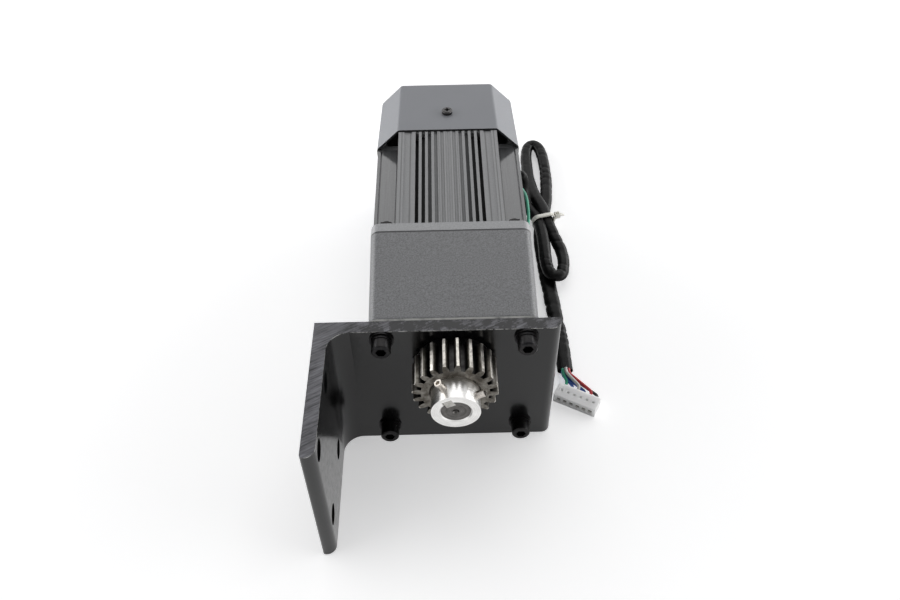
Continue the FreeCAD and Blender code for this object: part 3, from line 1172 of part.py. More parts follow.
def plug():
    """Six-way wire housing with its contacts, and the wires from the sleeve's end."""
    length = PLUG_WAYS * PLUG_PITCH + 2 * PLUG_END
    front, rear = -PLUG_DEPTH / 2, PLUG_DEPTH / 2
    housing = box(-length / 2, length / 2, front, rear, 0, PLUG_H)
    middle = PLUG_H / 2
    h = PLUG_CAVITY / 2
    w = PLUG_WINDOW / 2
    contacts, entries, tools = [], [], []
    for k in range(PLUG_WAYS):
        u = (k - (PLUG_WAYS - 1) / 2) * PLUG_PITCH
        tools.append(box(u - h, u + h, front - 1, rear - PLUG_WALL, middle - h, middle + h))
        tools.append(Part.makeCylinder(WIRE_D / 2 + FIT, PLUG_DEPTH, vec(u, 0, middle), vec(0, 1, 0)))
        tools.append(box(u - w, u + w, -w, w, middle, PLUG_H + 1))
        g = h - FIT
        contact = box(u - g, u + g, front + 1, rear - PLUG_WALL - FIT, middle - g, middle + g)
        mouth = box(u - h / 2, u + h / 2, -PLUG_DEPTH, 0, middle - h / 2, middle + h / 2)
        contacts.append(contact.cut(mouth))
        entries.append(vec(u, rear, middle))
    place = vec(SLEEVE_END[0] + PLUG_FROM_SLEEVE[0], SLEEVE_END[1] + PLUG_FROM_SLEEVE[1], FLOOR)
    placing = FreeCAD.Placement(place, FreeCAD.Rotation(vec(0, 0, 1), PLUG_ANGLE))
    housing = drill(housing, tools)
    for shape in [housing] + contacts:
        shape.Placement = placing
    out = placing.Rotation.multVec(vec(0, 1, 0))
    wires = []
    for k, entry in enumerate(entries):
        foot = placing.multVec(entry)
        dx, dz = polar(WIRE_ANGLES[k], SLEEVE_D / 2 - WIRE_D)
        root = vec(*SLEEVE_END, SLEEVE_Z).add(vec(dx, 0, dz))
        near = foot.add(out * WIRE_INTO_PLUG).add(vec(0, 0, WIRE_FLATTEN * dz))
        points = [root, root.sub(vec(0, WIRE_OUT_OF_SLEEVE, 0)), near, foot]
        wires.append(round_tube(points, WIRE_D, "wire_%d" % (k + 1)))
    return {"connector_housing": housing, "connector_contacts": contacts, "wire_green": wires[0],
            "wires_blue": [wires[1], wires[3]], "wire_white": wires[2], "wire_red": wires[4],
            "wire_black": wires[5]}


def build():
    cover = fan_cover()
    nodes = {
        "angle_bracket": angle_bracket(),
        "gear_case": gear_case(),
        "case_rear_plate": case_rear_plate(),
        "plate_screws": plate_screws(),
        "shaft_seal": shaft_seal(),
        "idler_bushes": idler_bushes(),
        "motor_flange": motor_flange(),
        "finned_frame": finned_frame(),
        "rear_end_bracket": rear_end_bracket(),
        "tie_bolts": tie_bolts(),
        "preload_washer": preload_washer(),
        "cooling_fan": cooling_fan(),
        "fan_cover": cover,
        "cover_screws": cover_screws(),
        "lead_grommet": lead_grommet(cover),
    }
    for group in (clamping_screws(), pinion_end(), output_train(), idler_train(), bearings(), stator(),
                  rotor(), tachogenerator(), earth_lead(), cable(), plug()):
        nodes.update(group)
    return nodes


os.makedirs("parts", exist_ok=True)
for name, shape in build().items():
    if isinstance(shape, list):
        shape = Part.makeCompound(shape)
    shape.exportStep("parts/%s.step" % name)
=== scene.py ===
import math

import bmesh
import bpy
from mathutils import Matrix, Vector


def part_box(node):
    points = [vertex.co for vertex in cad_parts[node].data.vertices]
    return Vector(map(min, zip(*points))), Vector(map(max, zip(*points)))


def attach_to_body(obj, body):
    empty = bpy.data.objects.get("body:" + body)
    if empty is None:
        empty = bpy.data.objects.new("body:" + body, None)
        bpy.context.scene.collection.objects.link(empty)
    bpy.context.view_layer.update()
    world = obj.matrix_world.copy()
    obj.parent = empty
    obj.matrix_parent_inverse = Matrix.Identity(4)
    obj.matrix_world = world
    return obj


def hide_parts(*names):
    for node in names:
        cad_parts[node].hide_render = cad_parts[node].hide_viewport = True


bl_info = {
    "name": "Gear motor on an angle bracket",
    "version": (1, 0, 0),
    "blender": (4, 5, 0),
    "location": "3D View > Sidebar > Gear motor",
    "description": "Finishes, leads and stage for a finned gear motor with a rack pinion",
    "category": "Object",
}

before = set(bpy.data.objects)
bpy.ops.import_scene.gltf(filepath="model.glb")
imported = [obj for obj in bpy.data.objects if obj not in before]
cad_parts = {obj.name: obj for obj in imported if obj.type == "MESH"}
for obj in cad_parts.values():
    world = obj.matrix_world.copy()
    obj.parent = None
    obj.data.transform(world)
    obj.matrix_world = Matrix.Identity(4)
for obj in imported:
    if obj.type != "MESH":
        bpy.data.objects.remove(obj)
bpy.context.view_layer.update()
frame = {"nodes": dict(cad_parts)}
NODES = frame["nodes"]
FLOOR_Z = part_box("angle_bracket")[0].z
MM = 0.001


def linear(hex_colour):
    """sRGB hex such as 8a8c90 to linear red, green, blue and alpha."""
    channels = [int(hex_colour[i:i + 2], 16) / 255 for i in (0, 2, 4)]
    return [c / 12.92 if c <= 0.04045 else ((c + 0.055) / 1.055) ** 2.4 for c in channels] + [1.0]


def tinted(hex_colour, factor):
    """The linear colour, this much darker or lighter."""
    return [min(1.0, c * factor) for c in linear(hex_colour)[:3]] + [1.0]


def per_mm(size):
    """Texture scale, in metres, whose features are about this many millimetres apart."""
    return 1000.0 / size


def put(tree, kind, inputs=None, **settings):
    """Adds a node, sets its properties, and sets or links its inputs by name or number."""
    node = tree.nodes.new("ShaderNode" + kind)
    for key, value in settings.items():
        setattr(node, key, value)
    for key, value in (inputs or {}).items():
        if isinstance(value, bpy.types.NodeSocket):
            tree.links.new(value, node.inputs[key])
        else:
            node.inputs[key].default_value = value
    return node


def finish(name, **values):
    """A new material with its shader's plain values set. Returns material, tree, shader."""
    material = bpy.data.materials.new(name)
    material.use_nodes = True
    tree = material.node_tree
    shader = tree.nodes["Principled BSDF"]
    for key, value in values.items():
        shader.inputs[key.replace("_", " ")].default_value = value
    return material, tree, shader


def attach(tree, shader, tone, gloss, relief):
    """Links a finish's colour, roughness and relief to its shader."""
    tree.links.new(tone, shader.inputs["Base Color"])
    tree.links.new(gloss, shader.inputs["Roughness"])
    tree.links.new(relief, shader.inputs["Normal"])


def dress(material, *names):
    """Gives CAD nodes a finish."""
    for name in names:
        slots = NODES[name].data.materials
        slots.clear()
        slots.append(material)


class GearMotorColours(bpy.types.PropertyGroup):
    """Colours a user would change, as sRGB hex."""
    bracket: bpy.props.StringProperty(name="Bracket", description="Black enamel", default="0b0b0c")
    case: bpy.props.StringProperty(name="Gear case", description="Grey paint on the case", default="696a6c")
    flange: bpy.props.StringProperty(name="Flange", description="Grey paint on the flange", default="999a9c")
    frame: bpy.props.StringProperty(name="Frame", description="Finned frame's lacquer", default="838486")
    cover: bpy.props.StringProperty(name="Fan cover", description="Satin cover lacquer", default="7e8085")
    sleeve: bpy.props.StringProperty(name="Sleeve", description="PVC sleeve", default="020202")
    tie: bpy.props.StringProperty(name="Tie", description="Nylon cable tie", default="f3f1e8")
    plug: bpy.props.StringProperty(name="Plug", description="Nylon plug", default="fcfcfa")


class GearMotorSizes(bpy.types.PropertyGroup):
    """Sizes a user would change."""
    sleeve_diameter: bpy.props.FloatProperty(
        name="Sleeve diameter", description="Round width of the sleeve", default=0.0080,
        subtype="DISTANCE", unit="LENGTH")
    tie_width: bpy.props.FloatProperty(
        name="Tie width", description="Width of the tie's band", default=0.0026,
        subtype="DISTANCE", unit="LENGTH")
    tie_thickness: bpy.props.FloatProperty(
        name="Tie thickness", description="Thickness of the tie's band", default=0.0011,
        subtype="DISTANCE", unit="LENGTH")
    tie_tail: bpy.props.FloatProperty(
        name="Tie tail", description="Length of the cut tail", default=0.0034,
        subtype="DISTANCE", unit="LENGTH")


# Bracket

SAW_SLANT = 29.0            # degrees
SAW_SPACING = 1.1           # millimetres between blade marks
SAW_STRETCH = 11.0          # length of a mark over its width


def black_enamel(colour):
    """Black enamel over a rolled steel angle: a deep smooth gloss on the rolled faces, a thin grey coat on
    the sawn ends with faint slanting blade marks, and paint rubbed off along the ends' upper edges."""
    material, tree, shader = finish("black enamel on rolled steel", Specular_IOR_Level=0.42)
    low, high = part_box("angle_bracket")
    place = put(tree, "TexCoord").outputs["Object"]
    normal = put(tree, "SeparateXYZ", {0: put(tree, "NewGeometry").outputs["Normal"]})
    xyz = put(tree, "SeparateXYZ", {0: place})
    at_top = put(tree, "MapRange", {0: xyz.outputs["Z"], 1: high.z - 0.3 * MM, 2: high.z - 0.1 * MM})
    at_foot = put(tree, "MapRange", {0: xyz.outputs["Z"], 1: low.z + 0.3 * MM, 2: low.z + 0.1 * MM})
    at_end = put(tree, "Math", {0: at_top.outputs[0], 1: at_foot.outputs[0]}, operation="MAXIMUM")
    level = put(tree, "Math", {0: normal.outputs["Z"]}, operation="ABSOLUTE")
    level = put(tree, "MapRange", {0: level.outputs[0], 1: 0.7, 2: 0.9})
    cut = put(tree, "Math", {0: at_end.outputs[0], 1: level.outputs[0]}, operation="MULTIPLY")
    # blade marks about a millimetre apart, slanting, each about a centimetre long
    slant = put(tree, "Mapping", {"Vector": place, "Rotation": (0, 0, math.radians(SAW_SLANT)),
                                  "Scale": (SAW_STRETCH, 1.0, 1.0)}, vector_type="TEXTURE")
    marks = put(tree, "TexNoise", {"Vector": slant.outputs[0], "Scale": per_mm(SAW_SPACING), "Detail": 4.0,
                                   "Roughness": 0.65})
    blotch = put(tree, "TexNoise", {"Vector": place, "Scale": per_mm(14), "Detail": 4.0})
    sawn = put(tree, "Mix", {"Factor": 0.3, "A": marks.outputs[0], "B": blotch.outputs[0]})
    sawn = put(tree, "MapRange", {0: sawn.outputs["Result"], 1: 0.36, 2: 0.64})
    # patches darken the plate's end but not the leg's: partly thicker paint, partly painted shade, as the
    # leg's end catches more light
    plate = put(tree, "MapRange", {0: xyz.outputs["X"], 1: low.x + 14 * MM, 2: low.x + 32 * MM, 4: 0.8})
    patch = put(tree, "TexNoise", {"Vector": place, "Scale": per_mm(6), "Detail": 5.0, "Roughness": 0.7})
    patch = put(tree, "MapRange", {0: patch.outputs[0], 1: 0.58, 2: 0.44})
    thick_paint_and_shade = put(tree, "Math", {0: plate.outputs[0], 1: patch.outputs[0]}, operation="MULTIPLY")
    sawn = put(tree, "Math", {0: sawn.outputs[0], 1: thick_paint_and_shade.outputs[0]}, operation="SUBTRACT",
               use_clamp=True)
    thin = put(tree, "Mix", {"Factor": sawn.outputs[0], "A": linear("1b1b1d"), "B": linear("78787e")},
               data_type="RGBA")
    tone = put(tree, "Mix", {"Factor": cut.outputs[0], "A": linear(colour), "B": thin.outputs["Result"]},
               data_type="RGBA")
    # bare steel along the upper edges, about half a millimetre wide and broken
    edge = put(tree, "MapRange", {0: xyz.outputs["Z"], 1: high.z - 0.75 * MM, 2: high.z - 0.35 * MM})
    chips = put(tree, "TexNoise", {"Vector": place, "Scale": per_mm(3.2), "Detail": 6.0, "Roughness": 0.7})
    chips = put(tree, "MapRange", {0: chips.outputs[0], 1: 0.4, 2: 0.58})
    bare = put(tree, "Math", {0: edge.outputs[0], 1: chips.outputs[0]}, operation="MULTIPLY")
    bare = put(tree, "Math", {0: bare.outputs[0], 1: cut.outputs[0]}, operation="SUBTRACT", use_clamp=True)
    tone = put(tree, "Mix", {"Factor": bare.outputs[0], "A": tone.outputs["Result"], "B": linear("b9b9b7")},
               data_type="RGBA")
    worn = put(tree, "Math", {0: cut.outputs[0], 1: bare.outputs[0]}, operation="MAXIMUM")
    peel = put(tree, "TexNoise", {"Vector": place, "Scale": per_mm(3.0), "Detail": 2.0})
    gloss = put(tree, "MapRange", {0: peel.outputs[0], 1: 0.3, 2: 0.7, 3: 0.16, 4: 0.25})
    rough = put(tree, "Mix", {"Factor": worn.outputs[0], "A": gloss.outputs[0], "B": 0.42})
    lift = put(tree, "Mix", {"Factor": cut.outputs[0], "A": peel.outputs[0], "B": marks.outputs[0]})
    bump = put(tree, "Bump", {"Strength": 0.06, "Distance": 0.1 * MM, "Height": lift.outputs["Result"]})
    attach(tree, shader, tone.outputs["Result"], rough.outputs["Result"], bump.outputs[0])
    return material


class GEARMOTOR_OT_bracket(bpy.types.Operator):
    """Paints the rolled angle"""
    bl_idname = "gearmotor.bracket"
    bl_label = "Bracket"

    def execute(self, context):
        dress(black_enamel(context.scene.gearmotor_colours.bracket), "angle_bracket")
        return {"FINISHED"}


# Castings, frame and cover

def cast_paint(name, colour, contrast=1.0):
    """Grey paint sprayed on a die casting: the casting's coarse grain shows as light and dark specks that
    sparkle, the edge that meets the bracket is pale, partly worn and partly a painted highlight, and painted
    shade darkens the rear seam and the boss's face."""
    material, tree, shader = finish(name)
    place = put(tree, "TexCoord").outputs["Object"]
    grain = put(tree, "TexNoise", {"Vector": place, "Scale": per_mm(0.85), "Detail": 5.0, "Roughness": 0.7})
    pits = put(tree, "TexVoronoi", {"Vector": place, "Scale": per_mm(1.0)}, feature="SMOOTH_F1")
    dark = tinted(colour, 1 - 0.4 * contrast)
    light = tinted(colour, 1 + 0.5 * contrast)
    speck = put(tree, "MapRange", {0: grain.outputs[0], 1: 0.36, 2: 0.64})
    tone = put(tree, "Mix", {"Factor": speck.outputs[0], "A": dark, "B": light}, data_type="RGBA")
    # pale band in the first millimetre behind the bracket: partly paint rubbed off, partly a painted highlight
    # on the case's front edge
    along = put(tree, "SeparateXYZ", {0: place})
    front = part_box("gear_case")[0].y
    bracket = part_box("angle_bracket")[1].y
    edge = put(tree, "MapRange", {0: along.outputs["Y"], 1: bracket + 1.3 * MM, 2: bracket + 0.7 * MM})
    patch = put(tree, "TexNoise", {"Vector": place, "Scale": per_mm(9), "Detail": 4.0})
    patch = put(tree, "MapRange", {0: patch.outputs[0], 1: 0.32, 2: 0.52})
    rub_and_highlight = put(tree, "Math", {0: edge.outputs[0], 1: patch.outputs[0]}, operation="MULTIPLY")
    tone = put(tree, "Mix", {"Factor": rub_and_highlight.outputs[0], "A": tone.outputs["Result"], "B": linear("cbcbc8")},
               data_type="RGBA")
    # painted shade: the boss's face, deep in the bracket's hole, is painted near black
    hole_shade = put(tree, "MapRange", {0: along.outputs["Y"], 1: front + 0.2 * MM, 2: front + 0.1 * MM})
    tone = put(tree, "Mix", {"Factor": hole_shade.outputs[0], "A": tone.outputs["Result"], "B": linear("0f0f0f")},
               data_type="RGBA")
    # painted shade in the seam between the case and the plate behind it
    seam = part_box("gear_case")[1].y
    gap = put(tree, "Math", {0: along.outputs["Y"], 1: seam}, operation="SUBTRACT")
    gap = put(tree, "Math", {0: gap.outputs[0]}, operation="ABSOLUTE")
    seam_shade = put(tree, "MapRange", {0: gap.outputs[0], 1: 0.75 * MM, 2: 0.45 * MM, 4: 0.85})
    tone = put(tree, "Mix", {"Factor": seam_shade.outputs[0], "A": tone.outputs["Result"],
                             "B": linear("161617")}, data_type="RGBA")
    gloss = put(tree, "MapRange", {0: grain.outputs[0], 1: 0.3, 2: 0.7, 3: 0.34, 4: 0.52})
    height = put(tree, "Math", {0: grain.outputs[0], 1: pits.outputs[0]}, operation="ADD")
    bump = put(tree, "Bump", {"Strength": 0.25, "Distance": 0.12 * MM, "Height": height.outputs[0]})
    attach(tree, shader, tone.outputs["Result"], gloss.outputs[0], bump.outputs[0])
    return material


# the extrusion's section, measured from the middle of a side outwards
DUST_AND_SHADE_DEPTH = 3.4 * MM                    # groove depth where the dust and painted shade are darkest
DUST_AND_SHADE_WITHIN = 22.0 * MM                  # half width of the grooved part
FINE_LINE_PITCH = 1.45 * MM                  # between the fine lines on the middle rib
FINE_LINES_WITHIN = 7.6 * MM                  # half width of the middle rib
STEP_SHADE_PAIR = (23.4 * MM, 28.8 * MM)      # the two painted shade lines on each broad outer rib, at a shallow groove's steps
CORNER_START = 30.6 * MM                 # where the ribs end and the open corners start
CORNER_GLOSS = 0.14                      # roughness of the corners
CORNER_SHADE, RIB_SHADE = 0.47, 0.17     # how far each darkens; at the corners this is painted shade


def extruded_lacquer(colour):
    """Grey lacquer on an aluminium extrusion: satin, with fine die lines along the motor, dust and painted
    shade in its grooves, painted shade lines at the steps on its broad ribs, and smoother corners darkened by
    painted shade."""
    material, tree, shader = finish("grey lacquer on extruded aluminium", Specular_IOR_Level=0.85)
    place = put(tree, "TexCoord").outputs["Object"]
    along = put(tree, "Mapping", {"Vector": place, "Scale": (1.0, 0.02, 1.0)})
    lines = put(tree, "TexNoise", {"Vector": along.outputs[0], "Scale": per_mm(0.7), "Detail": 3.0})
    dust = put(tree, "TexNoise", {"Vector": place, "Scale": per_mm(1.2), "Detail": 4.0})
    dark = tinted(colour, 0.86)
    light = tinted(colour, 1.16)
    mixed = put(tree, "Mix", {"Factor": 0.4, "A": lines.outputs[0], "B": dust.outputs[0]})
    share = put(tree, "MapRange", {0: mixed.outputs["Result"], 1: 0.35, 2: 0.65})
    tone = put(tree, "Mix", {"Factor": share.outputs[0], "A": dark, "B": light}, data_type="RGBA")
    # dust and painted shade in the grooves, darker with depth, away from the open corners
    low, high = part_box("finned_frame")
    half = (high.x - low.x) / 2
    centred = put(tree, "VectorMath", {0: place, 1: (low + high) / 2}, operation="SUBTRACT")
    centred = put(tree, "VectorMath", {0: centred.outputs[0]}, operation="ABSOLUTE")
    sides = put(tree, "SeparateXYZ", {0: centred.outputs[0]})
    outer = put(tree, "Math", {0: sides.outputs["X"], 1: sides.outputs["Z"]}, operation="MAXIMUM")
    inner = put(tree, "Math", {0: sides.outputs["X"], 1: sides.outputs["Z"]}, operation="MINIMUM")
    depth = put(tree, "MapRange", {0: outer.outputs[0], 1: half - 0.15 * MM, 2: half - DUST_AND_SHADE_DEPTH, 4: 0.92})
    within = put(tree, "MapRange", {0: inner.outputs[0], 1: DUST_AND_SHADE_WITHIN, 2: DUST_AND_SHADE_WITHIN - 0.5 * MM})
    dust_and_shade = put(tree, "Math", {0: depth.outputs[0], 1: within.outputs[0]}, operation="MULTIPLY")
    # fine dark lines: a row of them on the middle rib, and on each broad outer rib a pair of painted shade
    # lines where a shallow groove steps
    row = put(tree, "Math", {0: inner.outputs[0], 1: FINE_LINE_PITCH / 2}, operation="PINGPONG")
    row = put(tree, "MapRange", {0: row.outputs[0], 1: 0.42 * MM, 2: 0.1 * MM, 4: 0.65})
    middle = put(tree, "MapRange", {0: inner.outputs[0], 1: FINE_LINES_WITHIN, 2: FINE_LINES_WITHIN - 0.2 * MM})
    drawn = put(tree, "Math", {0: row.outputs[0], 1: middle.outputs[0]}, operation="MULTIPLY").outputs[0]
    for offset in STEP_SHADE_PAIR:
        away = put(tree, "Math", {0: inner.outputs[0], 1: offset}, operation="SUBTRACT")
        away = put(tree, "Math", {0: away.outputs[0]}, operation="ABSOLUTE")
        line = put(tree, "MapRange", {0: away.outputs[0], 1: 0.6 * MM, 2: 0.2 * MM, 4: 0.72})
        drawn = put(tree, "Math", {0: drawn, 1: line.outputs[0]}, operation="MAXIMUM").outputs[0]
    # the open corners are smoother and mirror the cover's dark mouth; painted shade makes them darker than the
    # ribs
    shade = put(tree, "MapRange", {0: inner.outputs[0], 1: CORNER_START, 2: CORNER_START - 0.2 * MM,
                                   3: CORNER_SHADE, 4: RIB_SHADE})
    shaded = put(tree, "Math", {0: dust_and_shade.outputs[0], 1: shade.outputs[0]}, operation="MAXIMUM")
    shown = put(tree, "Math", {0: shaded.outputs[0], 1: drawn}, operation="MAXIMUM")
    tone = put(tree, "Mix", {"Factor": shown.outputs[0], "A": tone.outputs["Result"],
                             "B": linear("121213")}, data_type="RGBA")
    ribbed = put(tree, "MapRange", {0: inner.outputs[0], 1: CORNER_START, 2: CORNER_START - 0.2 * MM})
    gloss = put(tree, "MapRange", {0: lines.outputs[0], 1: 0.3, 2: 0.7, 3: 0.36, 4: 0.5})
    gloss = put(tree, "Mix", {"Factor": dust_and_shade.outputs[0], "A": gloss.outputs[0], "B": 0.95})
    gloss = put(tree, "Mix", {"Factor": ribbed.outputs[0], "A": CORNER_GLOSS, "B": gloss.outputs["Result"]})
    bump = put(tree, "Bump", {"Strength": 0.2, "Distance": 0.05 * MM, "Height": lines.outputs[0]})
    attach(tree, shader, tone.outputs["Result"], gloss.outputs["Result"], bump.outputs[0])
    return material


def cover_lacquer(colour):
    """Satin grey lacquer on pressed sheet: even, with a soft sheen and hardly any grain, and painted shade
    inside and on the front edge.
    """
    material, tree, shader = finish("satin grey lacquer on pressed sheet")
    place = put(tree, "TexCoord").outputs["Object"]
    grain = put(tree, "TexNoise", {"Vector": place, "Scale": per_mm(0.6), "Detail": 3.0})
    cloud = put(tree, "TexNoise", {"Vector": place, "Scale": per_mm(30), "Detail": 2.0})
    dark = tinted(colour, 0.95)
    light = tinted(colour, 1.05)
    tone = put(tree, "Mix", {"Factor": cloud.outputs[0], "A": dark, "B": light}, data_type="RGBA")
    # painted shade inside and on the sheared front edge: there the surface faces the axis or the front
    low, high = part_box("fan_cover")
    facing = put(tree, "TexCoord").outputs["Normal"]
    spoke = put(tree, "VectorMath", {0: place, 1: (low + high) / 2}, operation="SUBTRACT")
    spoke = put(tree, "VectorMath", {0: spoke.outputs[0], 1: (1.0, 0.0, 1.0)}, operation="MULTIPLY")
    spoke = put(tree, "VectorMath", {0: spoke.outputs[0]}, operation="NORMALIZE")
    outward = put(tree, "VectorMath", {0: spoke.outputs[0], 1: facing}, operation="DOT_PRODUCT")
    inside = put(tree, "MapRange", {0: outward.outputs["Value"], 1: -0.4, 2: -0.6})
    fore = put(tree, "VectorMath", {0: facing, 1: (0.0, -1.0, 0.0)}, operation="DOT_PRODUCT")
    edge = put(tree, "MapRange", {0: fore.outputs["Value"], 1: 0.6, 2: 0.8})
    bare = put(tree, "Math", {0: inside.outputs[0], 1: edge.outputs[0]}, operation="MAXIMUM")
    tone = put(tree, "Mix", {"Factor": bare.outputs[0], "A": tone.outputs["Result"],
                             "B": linear("1b1b1c")}, data_type="RGBA")
    gloss = put(tree, "MapRange", {0: grain.outputs[0], 1: 0.3, 2: 0.7, 3: 0.42, 4: 0.52})
    bump = put(tree, "Bump", {"Strength": 0.1, "Distance": 0.04 * MM, "Height": grain.outputs[0]})
    attach(tree, shader, tone.outputs["Result"], gloss.outputs[0], bump.outputs[0])
    return material


class GEARMOTOR_OT_housing(bpy.types.Operator):
    """Paints the castings, the finned frame and the fan cover"""
    bl_idname = "gearmotor.housing"
    bl_label = "Case, frame and cover"

    def execute(self, context):
        colours = context.scene.gearmotor_colours
        dress(cast_paint("grey paint on the cast case", colours.case), "gear_case", "case_rear_plate")
        dress(cast_paint("grey paint on cast end plates", colours.flange, 0.4),
              "motor_flange", "rear_end_bracket")
        dress(extruded_lacquer(colours.frame), "finned_frame")
        dress(cover_lacquer(colours.cover), "fan_cover")
        return {"FINISHED"}


# Metals

def worked_metal(name, colour, stain, roughness, along=(1.0, 1.0, 1.0), grain=0.6, stain_share=0.5):
    """Bare worked metal: tool marks stretched along one direction, with patches of another tone."""
    material, tree, shader = finish(name, Metallic=1.0)
    place = put(tree, "TexCoord").outputs["Object"]
    drawn = put(tree, "Mapping", {"Vector": place, "Scale": along})
    marks = put(tree, "TexNoise", {"Vector": drawn.outputs[0], "Scale": per_mm(grain), "Detail": 4.0})
    patch = put(tree, "TexNoise", {"Vector": place, "Scale": per_mm(5), "Detail": 5.0, "Roughness": 0.65})
    both = put(tree, "Mix", {"Factor": 0.4, "A": patch.outputs[0], "B": marks.outputs[0]})
    low = 0.5 - 0.3 * (stain_share - 0.4)
    share = put(tree, "MapRange", {0: both.outputs["Result"], 1: low - 0.1, 2: low + 0.1})
    tone = put(tree, "Mix", {"Factor": share.outputs[0], "A": linear(colour), "B": linear(stain)},
               data_type="RGBA")
    gloss = put(tree, "MapRange", {0: marks.outputs[0], 1: 0.3, 2: 0.7,
                                   3: roughness - 0.07, 4: roughness + 0.07})
    bump = put(tree, "Bump", {"Strength": 0.15, "Distance": 0.03 * MM, "Height": marks.outputs[0]})
    attach(tree, shader, tone.outputs["Result"], gloss.outputs[0], bump.outputs[0])
    return material


class GEARMOTOR_OT_fasteners(bpy.types.Operator):
    """Finishes screws, washers, nuts and other small steel pieces"""
    bl_idname = "gearmotor.fasteners"
    bl_label = "Fasteners"

    def execute(self, context):
        oxide = worked_metal("black oxide on steel", "1d1d1f", "2e2d2d", 0.36, grain=0.5)
        dress(oxide, "case_screws", "spring_washers", "flat_washers", "case_nuts", "tie_bolts",
              "plate_screws")
        dress(worked_metal("dark nickel on steel", "545353", "3b3a3a", 0.26, grain=0.5), "cover_screws")
        dress(worked_metal("bright nickel on steel", "d6d1cb", "aaa49c", 0.24, grain=0.5), "hub_set_screws")
        zinc = worked_metal("bright zinc on steel", "c9c8c5", "a5a39e", 0.22, grain=0.5)
        dress(zinc, "earth_screw", "output_key", "preload_washer")
        dress(worked_metal("tinned copper lug", "c4c2bb", "9f9b92", 0.32), "earth_lug", "connector_contacts")
        return {"FINISHED"}


TOOTH_TIP, TOOTH_FOOT = 21.9 * MM, 18.6 * MM     # radii


def pinion_steel():
    """Hobbed steel: brown with old oil on its faces, with painted shade in the gaps, and rubbed bright in
    patches on the tooth tips."""
    material, tree, shader = finish("hobbed carbon steel with brown oil stain", Metallic=1.0)
    place = put(tree, "TexCoord").outputs["Object"]
    xyz = put(tree, "SeparateXYZ", {0: place})
    flat = put(tree, "CombineXYZ", {"X": xyz.outputs["X"], "Z": xyz.outputs["Z"]})
    radius = put(tree, "VectorMath", {0: flat.outputs[0]}, operation="LENGTH")
    tip = put(tree, "MapRange", {0: radius.outputs["Value"], 1: TOOTH_TIP - 0.4 * MM, 2: TOOTH_TIP})
    drawn = put(tree, "Mapping", {"Vector": place, "Scale": (1.0, 0.08, 1.0)})
    hob = put(tree, "TexNoise", {"Vector": drawn.outputs[0], "Scale": per_mm(0.5), "Detail": 4.0})
    patch = put(tree, "TexNoise", {"Vector": place, "Scale": per_mm(3.5), "Detail": 5.0, "Roughness": 0.7})
    brown = put(tree, "MapRange", {0: patch.outputs[0], 1: 0.38, 2: 0.62})
    stain = put(tree, "Mix", {"Factor": brown.outputs[0], "A": linear("7d7a74"), "B": linear("4f4a43")},
                data_type="RGBA")
    # painted shade on the sides and floors of the gaps, darker towards the foot; the front and rear faces are
    # left out
    facing = put(tree, "SeparateXYZ", {0: put(tree, "NewGeometry").outputs["Normal"]})
    facing = put(tree, "Math", {0: facing.outputs["Y"]}, operation="ABSOLUTE")
    between = put(tree, "MapRange", {0: facing.outputs[0], 1: 0.6, 2: 0.4})
    depth = put(tree, "MapRange", {0: radius.outputs["Value"], 1: TOOTH_TIP - 0.5 * MM, 2: TOOTH_FOOT,
                                   4: 0.85})
    gap_shade = put(tree, "Math", {0: between.outputs[0], 1: depth.outputs[0]}, operation="MULTIPLY")
    stain = put(tree, "Mix", {"Factor": gap_shade.outputs[0], "A": stain.outputs["Result"],
                              "B": linear("1c1d20")}, data_type="RGBA")
    rubbed = put(tree, "MapRange", {0: patch.outputs[0], 1: 0.36, 2: 0.56, 3: 0.25, 4: 1.0})
    bright = put(tree, "Math", {0: tip.outputs[0], 1: rubbed.outputs[0]}, operation="MULTIPLY")
    tone = put(tree, "Mix", {"Factor": bright.outputs[0], "A": stain.outputs["Result"],
                             "B": linear("d8d4cd")}, data_type="RGBA")
    gloss = put(tree, "MapRange", {0: patch.outputs[0], 1: 0.3, 2: 0.7, 3: 0.26, 4: 0.46})
    bump = put(tree, "Bump", {"Strength": 0.3, "Distance": 0.05 * MM, "Height": hob.outputs[0]})
    attach(tree, shader, tone.outputs["Result"], gloss.outputs[0], bump.outputs[0])
    return material


def turned_metal(name, colour, dark, roughness, pitch, depth=0.18):
    """Turned metal: fine rings round the shaft axis on the ends and round the sides."""
    material, tree, shader = finish(name, Metallic=1.0)
    place = put(tree, "TexCoord").outputs["Object"]
    xyz = put(tree, "SeparateXYZ", {0: place})
    flat = put(tree, "CombineXYZ", {"X": xyz.outputs["X"], "Z": xyz.outputs["Z"]})
    radius = put(tree, "VectorMath", {0: flat.outputs[0]}, operation="LENGTH")
    rings = put(tree, "CombineXYZ", {"X": radius.outputs["Value"], "Y": xyz.outputs["Y"]})
    # feed marks drawn coarser than a lathe leaves, so that they show
    cut = put(tree, "TexNoise", {"Vector": rings.outputs[0], "Scale": per_mm(pitch), "Detail": 3.0})
    smear = put(tree, "TexNoise", {"Vector": place, "Scale": per_mm(4), "Detail": 4.0})
    share = put(tree, "Mix", {"Factor": 0.5, "A": cut.outputs[0], "B": smear.outputs[0]})
    share = put(tree, "MapRange", {0: share.outputs["Result"], 1: 0.38, 2: 0.62})
    tone = put(tree, "Mix", {"Factor": share.outputs[0], "A": linear(colour), "B": linear(dark)},
               data_type="RGBA")
    gloss = put(tree, "MapRange", {0: cut.outputs[0], 1: 0.3, 2: 0.7,
                                   3: roughness - 0.04, 4: roughness + 0.05})
    bump = put(tree, "Bump", {"Strength": depth, "Distance": 0.02 * MM, "Height": cut.outputs[0]})
    attach(tree, shader, tone.outputs["Result"], gloss.outputs[0], bump.outputs[0])
    return material


